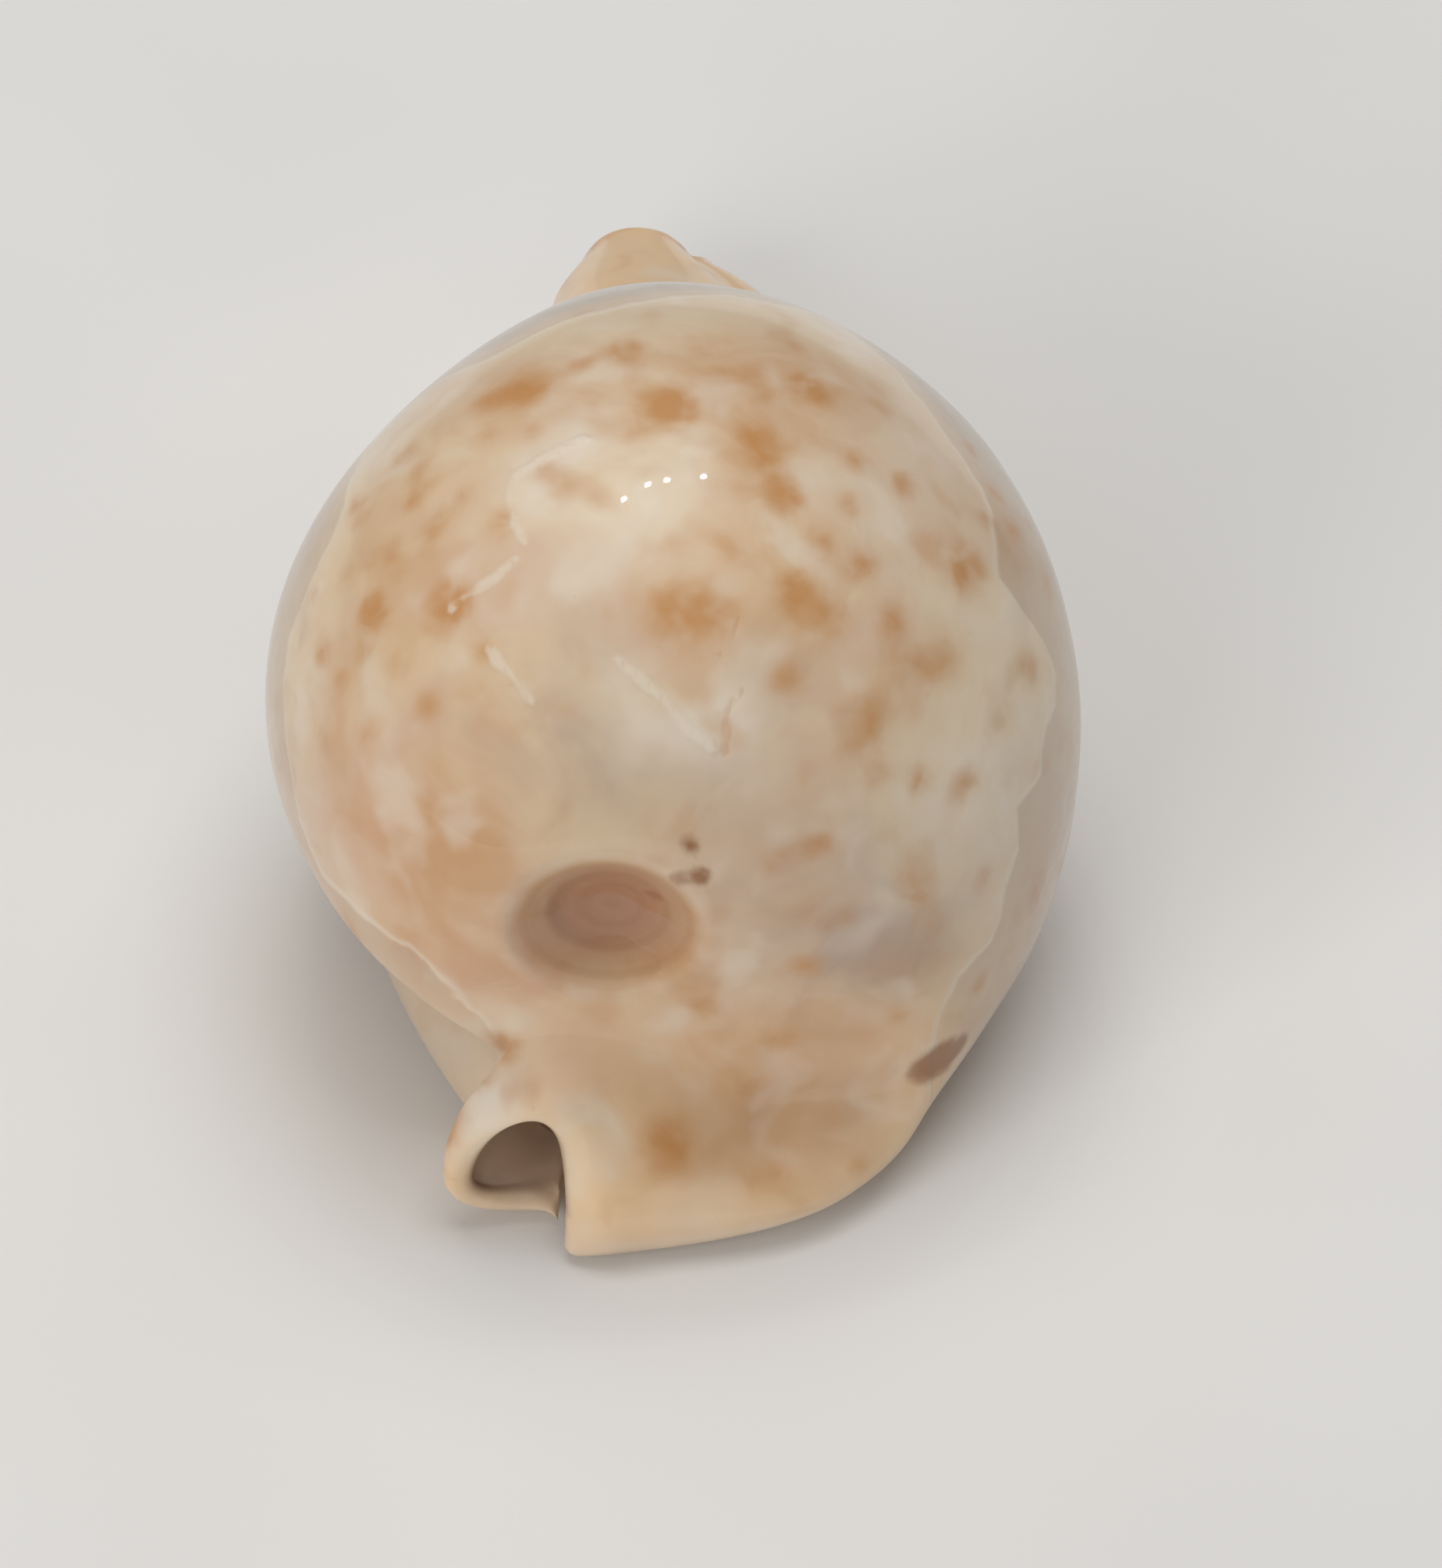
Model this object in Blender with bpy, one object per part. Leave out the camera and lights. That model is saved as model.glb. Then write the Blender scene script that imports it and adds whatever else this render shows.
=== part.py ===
# A rostrate cowrie, one piece of glazed shell, lying on its base.
# +Y runs from the spout at the spire end to the beak at the front, +Z is up through the dome,
# and +X is the side of the outer lip. Values are in millimetres, and MM turns them into metres.
import math

import bmesh
import bpy
import numpy as np

MM = 0.001

# The shell is lofted through stations 0 to 17, counted from the spire end to the front:
# 0 spout rim, 3 neck, 4 to 5 spire face, 9 widest, 14 root of the front beak, 17 beak rim.
# Each rail gives one measure at the stations that shape it, and a smooth curve runs between.
LAST_STATION = 17

# How far forward each station lies. Behind the widest part the sides and the crest part ways.
BODY_Y = {8: 20.0, 9: 29.0, 10: 38.0, 11: 46.0, 12: 53.0, 13: 58.5, 14: 64.0, 15: 70.0}
Y_RIGHT = {0: 1.3, 0.4: 1.2, 1: 1.6, 2: 3.6, 3: 6.4, 4: 8.4, 5: 10.2, 6: 12.4, 7: 15.4, **BODY_Y,
           16: 77.4, 17: 79.4}
Y_TOP = {0: 4.7, 1: 5.7, 2: 7.0, 3: 8.4, 4: 8.6, 5: 8.4, 6: 10.2, 7: 14.2, **BODY_Y, 16: 75.6, 17: 80.8}
Y_LEFT = {0: 4.0, 1: 4.8, 2: 6.0, 3: 8.2, 4: 9.0, 5: 9.6, 6: 11.0, 7: 14.0, **BODY_Y, 16: 77.4, 17: 80.0}

RIGHT_X = {0: -2.2, 0.4: 0.6, 1: 5.2, 2: 10.4, 3: 14.0, 4: 15.8, 5: 17.4, 6: 19.2, 7: 21.4, 8: 23.8,
           9: 25.4, 10: 23.4, 11: 20.4, 12: 16.4, 13: 12.6, 14: 9.8, 15: 8.4, 16: 7.0, 17: 3.6}
RIGHT_Z = {0: 2.8, 1: 2.8, 2: 3.2, 3: 4.2, 4: 6.2, 5: 8.4, 6: 10.4, 7: 13.0, 8: 15.5, 9: 17.5, 10: 17.0,
           11: 14.5, 12: 11.5, 13: 9.0, 14: 7.0, 15: 6.0, 16: 5.5, 17: 5.5}
TOP_X = {0: -6.0, 1: -5.5, 2: -5.2, 3: -5.1, 4: -5.2, 5: -5.0, 6: -4.2, 7: -2.8, 8: -1.3, 9: 0.2, 10: 0.3,
         11: 0.0, 12: -0.6, 13: -1.1, 14: -0.9, 15: -1.6, 16: -2.3, 17: -2.8}
TOP_Z = {0: 11.3, 1: 11.6, 2: 12.0, 3: 13.8, 4: 19.0, 5: 25.2, 6: 30.8, 7: 35.8, 8: 40.0, 9: 42.2, 10: 41.7,
         11: 38.5, 12: 32.3, 13: 25.2, 14: 18.9, 15: 14.4, 16: 12.0, 17: 10.5}
LEFT_X = {0: -13.6, 1: -13.4, 2: -12.4, 3: -9.8, 4: -10.4, 5: -13.4, 6: -16.2, 7: -19.4, 8: -22.6,
          9: -24.6, 10: -23.0, 11: -18.2, 12: -13.0, 13: -9.6, 14: -7.8, 15: -8.0, 16: -8.2, 17: -6.6}
LEFT_Z = {0: 4.6, 1: 5.6, 2: 7.6, 3: 10.6, 4: 12.9, 5: 14.4, 6: 15.8, 7: 17.4, 8: 18.6, 9: 19.0, 10: 18.0,
          11: 15.5, 12: 12.0, 13: 9.3, 14: 7.2, 15: 6.0, 16: 5.5, 17: 5.5}

# The slit of the aperture, and the hollow inside with the canal that leads out at each end.
SLIT_X = {0: -6.4, 2: -5.6, 4: -4.0, 6: -2.2, 8: -0.2, 9: 0.9, 10: 0.9, 11: 0.6, 12: 0.2, 13: -0.1,
          15: -0.9, 17: -1.8}
SLIT_WIDTH = {0: 0.4, 2: 1.0, 4: 2.0, 8: 3.0, 9: 3.6, 10: 4.3, 11: 4.8, 13: 5.1, 15: 4.8, 17: 4.5}
BASE_Z = {0: 0.5, 2: 0.2, 4: 0.0, 9: -0.3, 13: 0.0, 15: 0.8, 17: 2.4}
HOLLOW_LEFT = {0: -12.0, 2: -10.2, 3: -8.2, 4: -7.0, 5: -6.6, 6: -7.4, 7: -9.4, 8: -14.0, 9: -21.4,
               10: -20.8, 11: -16.6, 12: -11.6, 13: -8.0, 14: -6.0, 15: -5.6, 17: -5.0}
HOLLOW_RIGHT = {0: -6.2, 2: -5.1, 3: -3.8, 4: -1.8, 5: 1.0, 6: 5.0, 7: 11.0, 8: 18.0, 9: 22.4,
                10: 21.9, 11: 18.2, 12: 12.6, 13: 8.2, 14: 5.0, 15: 3.8, 17: 2.6}
HOLLOW_LEFT_POWER = {0: 1.35, 3: 1.6, 6: 2.0, 17: 2.0}
HOLLOW_CREST = {0: 0.64, 4: 0.6, 7: 0.5, 17: 0.5}
HOLLOW_TOP = {0: 10.0, 2: 10.2, 3: 10.6, 4: 11.4, 5: 12.6, 6: 15.0, 7: 21.0, 8: 33.0, 9: 39.4, 10: 38.6,
              11: 34.4, 12: 27.6, 13: 20.6, 14: 14.6, 15: 11.4, 17: 8.6}
FLOOR_Z = {0: 2.2, 2: 2.6, 4: 3.2, 6: 4.0, 8: 4.6, 10: 4.4, 12: 4.0, 14: 3.6, 17: 4.2}

# Behind the widest part the whorl overhangs the left margin of the base. FOLD lines run in the
# hollow between the two, MARGIN lines along the edge of the base, and OVERHANG says where it counts.
OVERHANG = {0: 0.0, 2: 0.0, 3: 0.8, 4: 1.0, 7: 1.0, 8: 0.8, 9: 0.4, 11: 0.0, 17: 0.0}
FOLD_X = {0: -9.0, 3: -9.2, 4: -9.0, 5: -9.8, 6: -10.8, 7: -12.4, 8: -16.2, 9: -20.6, 17: -8.0}
FOLD_Z = {0: 6.0, 3: 7.0, 4: 8.0, 6: 7.8, 9: 8.4, 17: 4.0}
MARGIN_X = {0: -12.4, 3: -11.6, 4: -11.6, 5: -11.8, 6: -12.2, 7: -14.0, 8: -17.0, 9: -20.2, 17: -8.0}
MARGIN_Z = {0: 3.4, 3: 3.4, 6: 3.0, 9: 4.0, 17: 3.0}

# On the right the whorl meets the outer lip in a soft groove, which follows these points.
RIGHT_GROOVE_PATH = [(3.5, 6.8, 8.6), (6.2, 7.0, 7.6), (9.5, 7.2, 7.6), (12.8, 7.6, 7.9), (15.2, 8.6, 8.6),
                     (17.8, 10.9, 8.7)]
RIGHT_GROOVE_INWARD = (-0.15, 0.85, -0.5)
RIGHT_GROOVE_DEPTH = 0.7
RIGHT_GROOVE_WIDTH = 1.6
BEAK_CREASE = {0: 0.0, 13: 0.0, 15: 0.4, 17: 0.9}
BEAK_CREASE_AT = {0: 0.4, 14: 0.4, 17: 0.5}

LEFT_DOME_POWER = 2.05
RIGHT_DOME_POWER = {0: 1.8, 1: 1.3, 2: 1.25, 3: 1.35, 4: 1.75, 5: 2.0, 6: 2.05, 17: 2.05}
RIGHT_DIP = {0: 0.0, 1: 1.6, 2: 2.6, 3: 3.0, 4: 2.4, 5: 1.0, 6: 0.3, 7: 0.0, 17: 0.0}
RIGHT_DIP_AT = 0.38
RIGHT_DIP_WIDTH = 0.22
CREST_SOFTNESS = 1.6
LIP_SETBACK = {0: 1.3, 2: 1.2, 4: 0.4, 6: 0.0, 17: 0.0}
BASE_POWER = {0: 2.0, 2: 2.2, 6: 2.5, 9: 2.7, 13: 2.4, 17: 2.0}
LIP_RADIUS = 0.9
REST_DEPTH = 0.6

# The sunken spire: a bowl pressed into the spire face, with the whorls as faint steps.
SPIRE_CENTRE = (-3.5, 8.4, 22.3)
SPIRE_AXIS = (0.1, 0.97, -0.15)
SPIRE_RADIUS = 5.8
SPIRE_DEPTH = 2.8

TOOTH_PITCH = 2.8
TOOTH_HEIGHT = 0.45
RIGHT_TOOTH_LENGTH = 4.5
LEFT_TOOTH_LENGTH = 3.0
TEETH_START_Y = 15.0
TEETH_END_Y = 74.0

# How many points each stretch of the ring has, and where along the shell the rings lie.
RIGHT_BASE_POINTS = 7
LEFT_BASE_POINTS = 12
DOME_POINTS = 11
LIP_POINTS = 2
WALL_POINTS = 2
HOLLOW_BASE_POINTS = 3
HOLLOW_DOME_POINTS = 5
OUTER_COUNT = 2 * LIP_POINTS + RIGHT_BASE_POINTS + LEFT_BASE_POINTS + 2 * DOME_POINTS
SPIRE_END_RINGS = 19
SPIRE_END_STATION = 7.0
RIM_RINGS = 3
RIM_ROUNDING = 1.0


def rail(knots, at):
    """The natural cubic spline through a rail's knots, read at the stations given."""
    x = np.array(sorted(knots), float)
    v = np.array([knots[k] for k in sorted(knots)], float)
    h = np.diff(x)
    slope = np.diff(v) / h
    system = np.eye(len(x))
    right = np.zeros(len(x))
    for i in range(1, len(x) - 1):
        system[i, i - 1:i + 2] = h[i - 1], 2 * (h[i - 1] + h[i]), h[i]
        right[i] = 6 * (slope[i] - slope[i - 1])
    bend = np.linalg.solve(system, right)
    at = np.asarray(at, float)
    i = np.clip(np.searchsorted(x, at, side="right") - 1, 0, len(h) - 1)
    left, over = at - x[i], x[i + 1] - at
    return ((bend[i] * over ** 3 + bend[i + 1] * left ** 3) / (6 * h[i])
            + (v[i] / h[i] - bend[i] * h[i] / 6) * over
            + (v[i + 1] / h[i] - bend[i + 1] * h[i] / 6) * left)


def bump(value, centre, width):
    """A smooth hump of height 1."""
    return np.exp(-((value - centre) / width) ** 2)


def smooth_step(value):
    t = np.clip(value, 0.0, 1.0)
    return t * t * (3 - 2 * t)


def quadrant(flank, pole, power, samples=80):
    """A quarter of a superellipse from the flank, where it runs upright, to the pole, where it lies level."""
    a = np.linspace(0, math.pi / 2, samples)
    x = pole[0] + (flank[0] - pole[0]) * np.cos(a) ** (2 / power)
    z = flank[1] + (pole[1] - flank[1]) * np.sin(a) ** (2 / power)
    return np.column_stack([x, z])


def even_points(line, count, ends=False):
    """Points spread evenly along a line, without its last one unless ends is set."""
    run = np.concatenate([[0], np.cumsum(np.linalg.norm(np.diff(line, axis=0), axis=1))])
    at = np.linspace(0, run[-1], count + 1)
    if not ends:
        at = at[:-1]
    return np.column_stack([np.interp(at, run, line[:, k]) for k in range(line.shape[1])])


def shifted(line, amount):
    """A line moved sideways by an amount at each of its points, to the left of its run."""
    along = np.gradient(line, axis=0)
    along /= np.maximum(np.linalg.norm(along, axis=1, keepdims=True), 1e-9)
    return line + np.column_stack([-along[:, 1], along[:, 0]]) * np.asarray(amount)[:, None]


def corner(before, at, after, count):
    """A rounded corner, from before to after, that aims at the point between them."""
    t = np.linspace(0, 1, count + 1)[:-1, None]
    return (1 - t) ** 2 * before + 2 * t * (1 - t) * at + t ** 2 * after


def measures(stations):
    """Every measure of the shell, at each of the stations."""
    rails = dict(y_right=Y_RIGHT, y_top=Y_TOP, y_left=Y_LEFT, right_x=RIGHT_X, right_z=RIGHT_Z,
                 top_x=TOP_X, top_z=TOP_Z, left_x=LEFT_X, left_z=LEFT_Z, slit_x=SLIT_X,
                 slit_width=SLIT_WIDTH, base_z=BASE_Z, hollow_left=HOLLOW_LEFT,
                 hollow_right=HOLLOW_RIGHT, hollow_crest=HOLLOW_CREST, hollow_top=HOLLOW_TOP,
                 hollow_left_power=HOLLOW_LEFT_POWER,
                 floor_z=FLOOR_Z, overhang=OVERHANG, fold_x=FOLD_X, fold_z=FOLD_Z,
                 margin_x=MARGIN_X, margin_z=MARGIN_Z, beak_crease=BEAK_CREASE,
                 beak_crease_at=BEAK_CREASE_AT, base_power=BASE_POWER,
                 right_dome_power=RIGHT_DOME_POWER, right_dip=RIGHT_DIP, lip_setback=LIP_SETBACK)
    read = {name: rail(knots, stations) for name, knots in rails.items()}
    return [{name: float(values[i]) for name, values in read.items()} for i in range(len(stations))]


def outer_lines(m):
    """The outside of one section as four lines: lip to right flank, to crest, to left flank, to lip."""
    crest = (m["top_x"], m["top_z"])
    right = (m["right_x"], m["right_z"])
    left = (m["left_x"], m["left_z"])
    seat = (m["slit_x"], m["base_z"])
    along = np.linspace(0, 1, 80)
    right_dome = even_points(quadrant(right, crest, m["right_dome_power"]), 79, ends=True)
    right_dome = shifted(right_dome, m["beak_crease"] * bump(along, m["beak_crease_at"], 0.11)
                         + m["right_dip"] * bump(along, RIGHT_DIP_AT, RIGHT_DIP_WIDTH))
    left_dome = even_points(quadrant(left, crest, LEFT_DOME_POWER)[::-1], 79, ends=True)
    right_dome, left_dome = softened(right_dome, left_dome)
    right_base = quadrant(right, seat, m["base_power"])[::-1]
    plain = even_points(quadrant(left, seat, m["base_power"]), 79, ends=True)
    under = even_points(overhung(m, left, seat), 79, ends=True)
    left_base = plain + (under - plain) * m["overhang"]
    return right_base, right_dome, left_dome, left_base


def softened(right_dome, left_dome):
    """Rounds the crest where the two halves of the dome meet."""
    line = np.vstack([right_dome, left_dome[1:]])
    run = np.concatenate([[0], np.cumsum(np.linalg.norm(np.diff(line, axis=0), axis=1))])
    crest = run[len(right_dome) - 1]
    even = np.linspace(0, run[-1], 321)
    fine = np.column_stack([np.interp(even, run, line[:, k]) for k in (0, 1)])
    step = even[1]
    span = int(math.ceil(CREST_SOFTNESS / step))
    padded = np.pad(fine, ((span, span), (0, 0)), mode="edge")
    mean = sum(padded[k:k + len(fine)] for k in range(2 * span + 1)) / (2 * span + 1)
    near = smooth_step(2.2 - np.abs(even - crest) / (1.6 * CREST_SOFTNESS))[:, None]
    near = near * (smooth_step(np.minimum(even, run[-1] - even) / CREST_SOFTNESS - 1))[:, None]
    fine = fine + (mean - fine) * near
    split = int(round(crest / step))
    return fine[:split + 1], fine[split:]


def overhung(m, flank, seat):
    """The left of the base where the whorl overhangs it: in to the fold, out to the margin, under to the lip."""
    t = np.linspace(0, 1, 30)
    turn = smooth_step(t)
    fold, margin = (m["fold_x"], m["fold_z"]), (m["margin_x"], m["margin_z"])
    inward = np.column_stack([flank[0] + (fold[0] - flank[0]) * turn, flank[1] + (fold[1] - flank[1]) * t])
    outward = np.column_stack([fold[0] + (margin[0] - fold[0]) * turn, fold[1] + (margin[1] - fold[1]) * t])
    return np.vstack([inward[:-1], outward[:-1], quadrant(margin, seat, m["base_power"])])


def hollow_lines(m):
    """The wall of the hollow in one section, in the same order as the outside."""
    middle = 0.45 * m["floor_z"] + 0.55 * min(m["left_z"], m["hollow_top"] - 1.5)
    crest = (m["hollow_left"] + m["hollow_crest"] * (m["hollow_right"] - m["hollow_left"]), m["hollow_top"])
    seat = (m["slit_x"], m["floor_z"])
    left = (m["hollow_left"], middle)
    right = (m["hollow_right"], middle)
    return (quadrant(right, seat, 2.2)[::-1], quadrant(right, crest, 2.0),
            quadrant(left, crest, m["hollow_left_power"])[::-1], quadrant(left, seat, 2.2))


def cut_at(line, x, from_right):
    """The part of a base line that lies on its own side of the slit."""
    keep = line[:, 0] >= x if from_right else line[:, 0] <= x
    return line[keep]


def ring(m):
    """The closed outline of one section, from the outer lip round the outside and back through the hollow."""
    half = m["slit_width"] / 2
    right_edge, left_edge = m["slit_x"] + half, m["slit_x"] - half
    right_base, right_dome, left_dome, left_base = outer_lines(m)
    in_right_base, in_right_dome, in_left_dome, in_left_base = hollow_lines(m)
    thick = m["floor_z"] - m["base_z"]
    r = min(LIP_RADIUS, 0.45 * thick)
    outer_r = cut_at(right_base, right_edge + r, True)
    outer_l = cut_at(left_base, left_edge - r, False)
    inner_r = cut_at(in_right_base, right_edge + 0.6 * r, True)
    inner_l = cut_at(in_left_base, left_edge - 0.6 * r, False)
    if len(inner_r) < 2:
        inner_r = in_right_base[-2:]
    wall_low = np.array([0.0, r])
    wall_high = np.array([0.0, 0.6 * r])
    right_foot, left_foot = np.array([right_edge, outer_r[0, 1]]), np.array([left_edge, outer_l[-1, 1]])
    right_sill, left_sill = np.array([right_edge, inner_r[0, 1]]), np.array([left_edge, inner_l[-1, 1]])
    stretches = [
        corner(right_foot + wall_low, right_foot, outer_r[0], LIP_POINTS),
        even_points(outer_r, RIGHT_BASE_POINTS),
        even_points(right_dome, DOME_POINTS),
        even_points(left_dome, DOME_POINTS),
        even_points(outer_l, LEFT_BASE_POINTS),
        corner(outer_l[-1], left_foot, left_foot + wall_low, LIP_POINTS),
        even_points(np.array([left_foot + wall_low, left_sill - wall_high]), WALL_POINTS),
        corner(left_sill - wall_high, left_sill, inner_l[-1], 1),
        even_points(inner_l[::-1], HOLLOW_BASE_POINTS),
        even_points(in_left_dome[::-1], HOLLOW_DOME_POINTS),
        even_points(in_right_dome[::-1], HOLLOW_DOME_POINTS),
        even_points(inner_r[::-1], HOLLOW_BASE_POINTS),
        corner(inner_r[0], right_sill, right_sill - wall_high, 1),
        even_points(np.array([right_sill - wall_high, right_foot + wall_low]), WALL_POINTS),
    ]
    return np.vstack(stretches)


def lengthwise(points, m):
    """How far forward each point of a section lies: the two sides and the crest have their own place."""
    x, z = points[:, 0], points[:, 1]
    up = smooth_step((z - m["right_z"]) / max(m["top_z"] - m["right_z"], 1e-6))
    low = smooth_step((z - m["left_z"]) / max(m["top_z"] - m["left_z"], 1e-6))
    right = m["y_right"] + (m["y_top"] - m["y_right"]) * up
    left = m["y_left"] + (m["y_top"] - m["y_left"]) * low
    left += m["lip_setback"] * smooth_step((x - m["left_x"]) / (m["slit_x"] - m["left_x"])) * (1 - low)
    across = smooth_step((x - (m["slit_x"] - 0.6)) / 1.2)
    side = np.where(z > 0.5 * (m["top_z"] + m["left_z"]), smooth_step(0.5 + (x - m["top_x"]) / 6.0), across)
    return left + (right - left) * side


def cut_teeth(points, m, lift):
    """Raises or sinks both lips at one ring, so that rings in turn make ridges that cross the lips."""
    x, z = points[:, 0], points[:, 2]
    half = m["slit_width"] / 2
    side = np.where(x > m["slit_x"], 1.0, -1.0)
    away = np.abs(x - m["slit_x"]) - half
    reach = np.where(side > 0, RIGHT_TOOTH_LENGTH, LEFT_TOOTH_LENGTH)
    low = smooth_step((m["floor_z"] - z) / 1.0 + 0.4)
    down = smooth_step(1.1 - away / reach) * low
    inward = smooth_step(1.0 - away / 0.8) * low
    moved = points.copy()
    moved[:, 0] -= side * inward * lift
    moved[:, 2] -= down * lift
    return moved


def middle_line(points):
    """The middle of the wall beside each ring point, which the rounded rims close towards."""
    outer, inner = points[:OUTER_COUNT], points[OUTER_COUNT:][::-1]
    right, left = LIP_POINTS + RIGHT_BASE_POINTS, LIP_POINTS + RIGHT_BASE_POINTS + 2 * DOME_POINTS
    outer_marks = [0, right, (right + left) / 2, left, len(outer) - 1]
    right, left = WALL_POINTS + HOLLOW_BASE_POINTS, WALL_POINTS + HOLLOW_BASE_POINTS + 2 * HOLLOW_DOME_POINTS
    inner_marks = [0, right, (right + left) / 2, left, len(inner) - 1]
    partner = np.interp(np.arange(len(outer)), outer_marks, inner_marks)
    across = np.column_stack([np.interp(partner, np.arange(len(inner)), inner[:, k]) for k in range(2)])
    middle = 0.5 * (outer + across)
    back = np.interp(np.arange(len(inner)), inner_marks, outer_marks)
    middle_in = np.column_stack([np.interp(back, np.arange(len(outer)), middle[:, k]) for k in range(2)])
    return np.vstack([middle, middle_in[::-1]])


def ring_stations():
    """Stations close together round the spire end, then one for each flank of each tooth."""
    dense = np.linspace(0, LAST_STATION, 3401)
    y = rail(Y_TOP, dense)
    front = dense > SPIRE_END_STATION
    first_y = rail(Y_TOP, [SPIRE_END_STATION])[0]
    steps = np.arange(first_y + TOOTH_PITCH / 2, rail(Y_TOP, [LAST_STATION])[0] - 1.0, TOOTH_PITCH / 2)
    return np.concatenate([np.linspace(0, SPIRE_END_STATION, SPIRE_END_RINGS),
                           np.interp(steps, y[front], dense[front]), [LAST_STATION]])


def rings():
    """Every ring in space, with the rounded rim at each end."""
    found = []
    for i, m in enumerate(measures(ring_stations())):
        flat = ring(m)
        points = np.column_stack([flat[:, 0], lengthwise(flat, m), flat[:, 1]])
        fade = smooth_step((m["y_top"] - TEETH_START_Y) / 3) * smooth_step((TEETH_END_Y - m["y_top"]) / 3)
        found.append(cut_teeth(points, m, (i % 2 - 0.5) * TOOTH_HEIGHT * fade))
    return [*rim(found[0], -1)[::-1], *found, *rim(found[-1], 1)]


def rim(edge, outward):
    """The rings that round off one end of the wall."""
    middle = middle_line(edge[:, [0, 2]])
    made = []
    for k in range(1, RIM_RINGS + 1):
        turn = 0.5 * math.pi * k / (RIM_RINGS + 0.4)
        flat = middle + (edge[:, [0, 2]] - middle) * math.cos(turn)
        y = edge[:, 1] + outward * RIM_ROUNDING * math.sin(turn)
        made.append(np.column_stack([flat[:, 0], y, flat[:, 1]]))
    return made


def press_spire(points):
    """Sinks the spire into the face above the spout."""
    axis = np.array(SPIRE_AXIS) / np.linalg.norm(SPIRE_AXIS)
    out = points - np.array(SPIRE_CENTRE)
    along = out @ axis
    radius = np.linalg.norm(out - np.outer(along, axis), axis=1) / SPIRE_RADIUS
    bowl = SPIRE_DEPTH * np.clip(1 - radius ** 2.6, 0, 1) ** 1.3
    near = smooth_step((8.0 - np.abs(along)) / 3.0)
    return points + np.outer(bowl * near, axis)


def press_groove(points):
    """Draws in the surface along the groove above the outer lip."""
    path = np.array(RIGHT_GROOVE_PATH)
    nearest = np.full(len(points), np.inf)
    share = np.zeros(len(points))
    for i in range(len(path) - 1):
        run = path[i + 1] - path[i]
        t = np.clip((points - path[i]) @ run / (run @ run), 0, 1)
        away = np.linalg.norm(points - path[i] - t[:, None] * run, axis=1)
        share = np.where(away < nearest, (i + t) / (len(path) - 1), share)
        nearest = np.minimum(nearest, away)
    fade = smooth_step(share / 0.3) * smooth_step((1 - share) / 0.3)
    depth = RIGHT_GROOVE_DEPTH * fade * bump(nearest, 0, RIGHT_GROOVE_WIDTH)
    return points + np.outer(depth, RIGHT_GROOVE_INWARD)


def press(ring_points):
    """Works the spire and the groove into the outside of a ring, and leaves its hollow as it is."""
    outside = press_groove(press_spire(ring_points[:OUTER_COUNT]))
    return np.vstack([outside, ring_points[OUTER_COUNT:]])


def flatten_foot(points):
    """Wears the lowest of the base to the small flat that the shell rests on."""
    low = points[:, 2].min()
    points[:, 2] = np.maximum(points[:, 2] - low - REST_DEPTH, 0.0)
    return points


def shell_mesh():
    stack = [press(r) for r in rings()]
    count, size = len(stack), len(stack[0])
    points = flatten_foot(np.vstack(stack))
    low, high = points.min(0), points.max(0)
    points[:, :2] -= (low[:2] + high[:2]) / 2
    made = bmesh.new()
    verts = [made.verts.new(p * MM) for p in points]
    for i in range(count - 1):
        for j in range(size):
            a, b = i * size + j, i * size + (j + 1) % size
            made.faces.new((verts[a], verts[b], verts[b + size], verts[a + size]))
    made.faces.new(verts[:size])
    made.faces.new(verts[-size:])
    bmesh.ops.recalc_face_normals(made, faces=made.faces)
    mesh = bpy.data.meshes.new("shell")
    made.to_mesh(mesh)
    made.free()
    return mesh


def glazed():
    """The pale, glossy glaze of the shell."""
    material = bpy.data.materials.new("glazed_shell")
    material.use_nodes = True
    surface = material.node_tree.nodes["Principled BSDF"]
    surface.inputs["Base Color"].default_value = (0.66, 0.5, 0.36, 1.0)
    surface.inputs["Roughness"].default_value = 0.2
    return material


for old in list(bpy.data.objects):
    bpy.data.objects.remove(old)
shell = bpy.data.objects.new("shell", shell_mesh())
shell.data.materials.append(glazed())
bpy.context.scene.collection.objects.link(shell)
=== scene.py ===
import math

import bmesh
import bpy
import numpy as np
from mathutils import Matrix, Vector


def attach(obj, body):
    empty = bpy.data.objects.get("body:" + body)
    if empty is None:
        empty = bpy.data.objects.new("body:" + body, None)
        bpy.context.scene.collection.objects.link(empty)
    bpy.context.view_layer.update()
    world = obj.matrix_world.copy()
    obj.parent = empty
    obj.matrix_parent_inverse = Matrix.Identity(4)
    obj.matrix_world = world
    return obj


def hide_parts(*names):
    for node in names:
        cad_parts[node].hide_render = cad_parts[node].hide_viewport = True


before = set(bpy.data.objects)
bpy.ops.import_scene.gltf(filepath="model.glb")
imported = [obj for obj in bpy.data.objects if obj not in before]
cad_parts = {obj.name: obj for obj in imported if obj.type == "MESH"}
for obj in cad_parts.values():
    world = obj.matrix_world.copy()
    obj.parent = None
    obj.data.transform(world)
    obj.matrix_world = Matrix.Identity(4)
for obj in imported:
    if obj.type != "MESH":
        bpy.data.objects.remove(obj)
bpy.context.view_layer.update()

# The camera stands behind the spire end and looks down on the shell's back, as the photograph does.
# PHOTO_WIDTH and PHOTO_HEIGHT are the picture's size in pixels, which every place named in pixels uses.
PHOTO_WIDTH = 1848
PHOTO_HEIGHT = 2009
CAMERA_ELEVATION = math.radians(48)
CAMERA_DISTANCE = 0.42
CAMERA_TARGET = Vector((0.00293, -0.0131, 0.0132))
LENS_MM = 156
SENSOR_MM = 36

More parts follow.
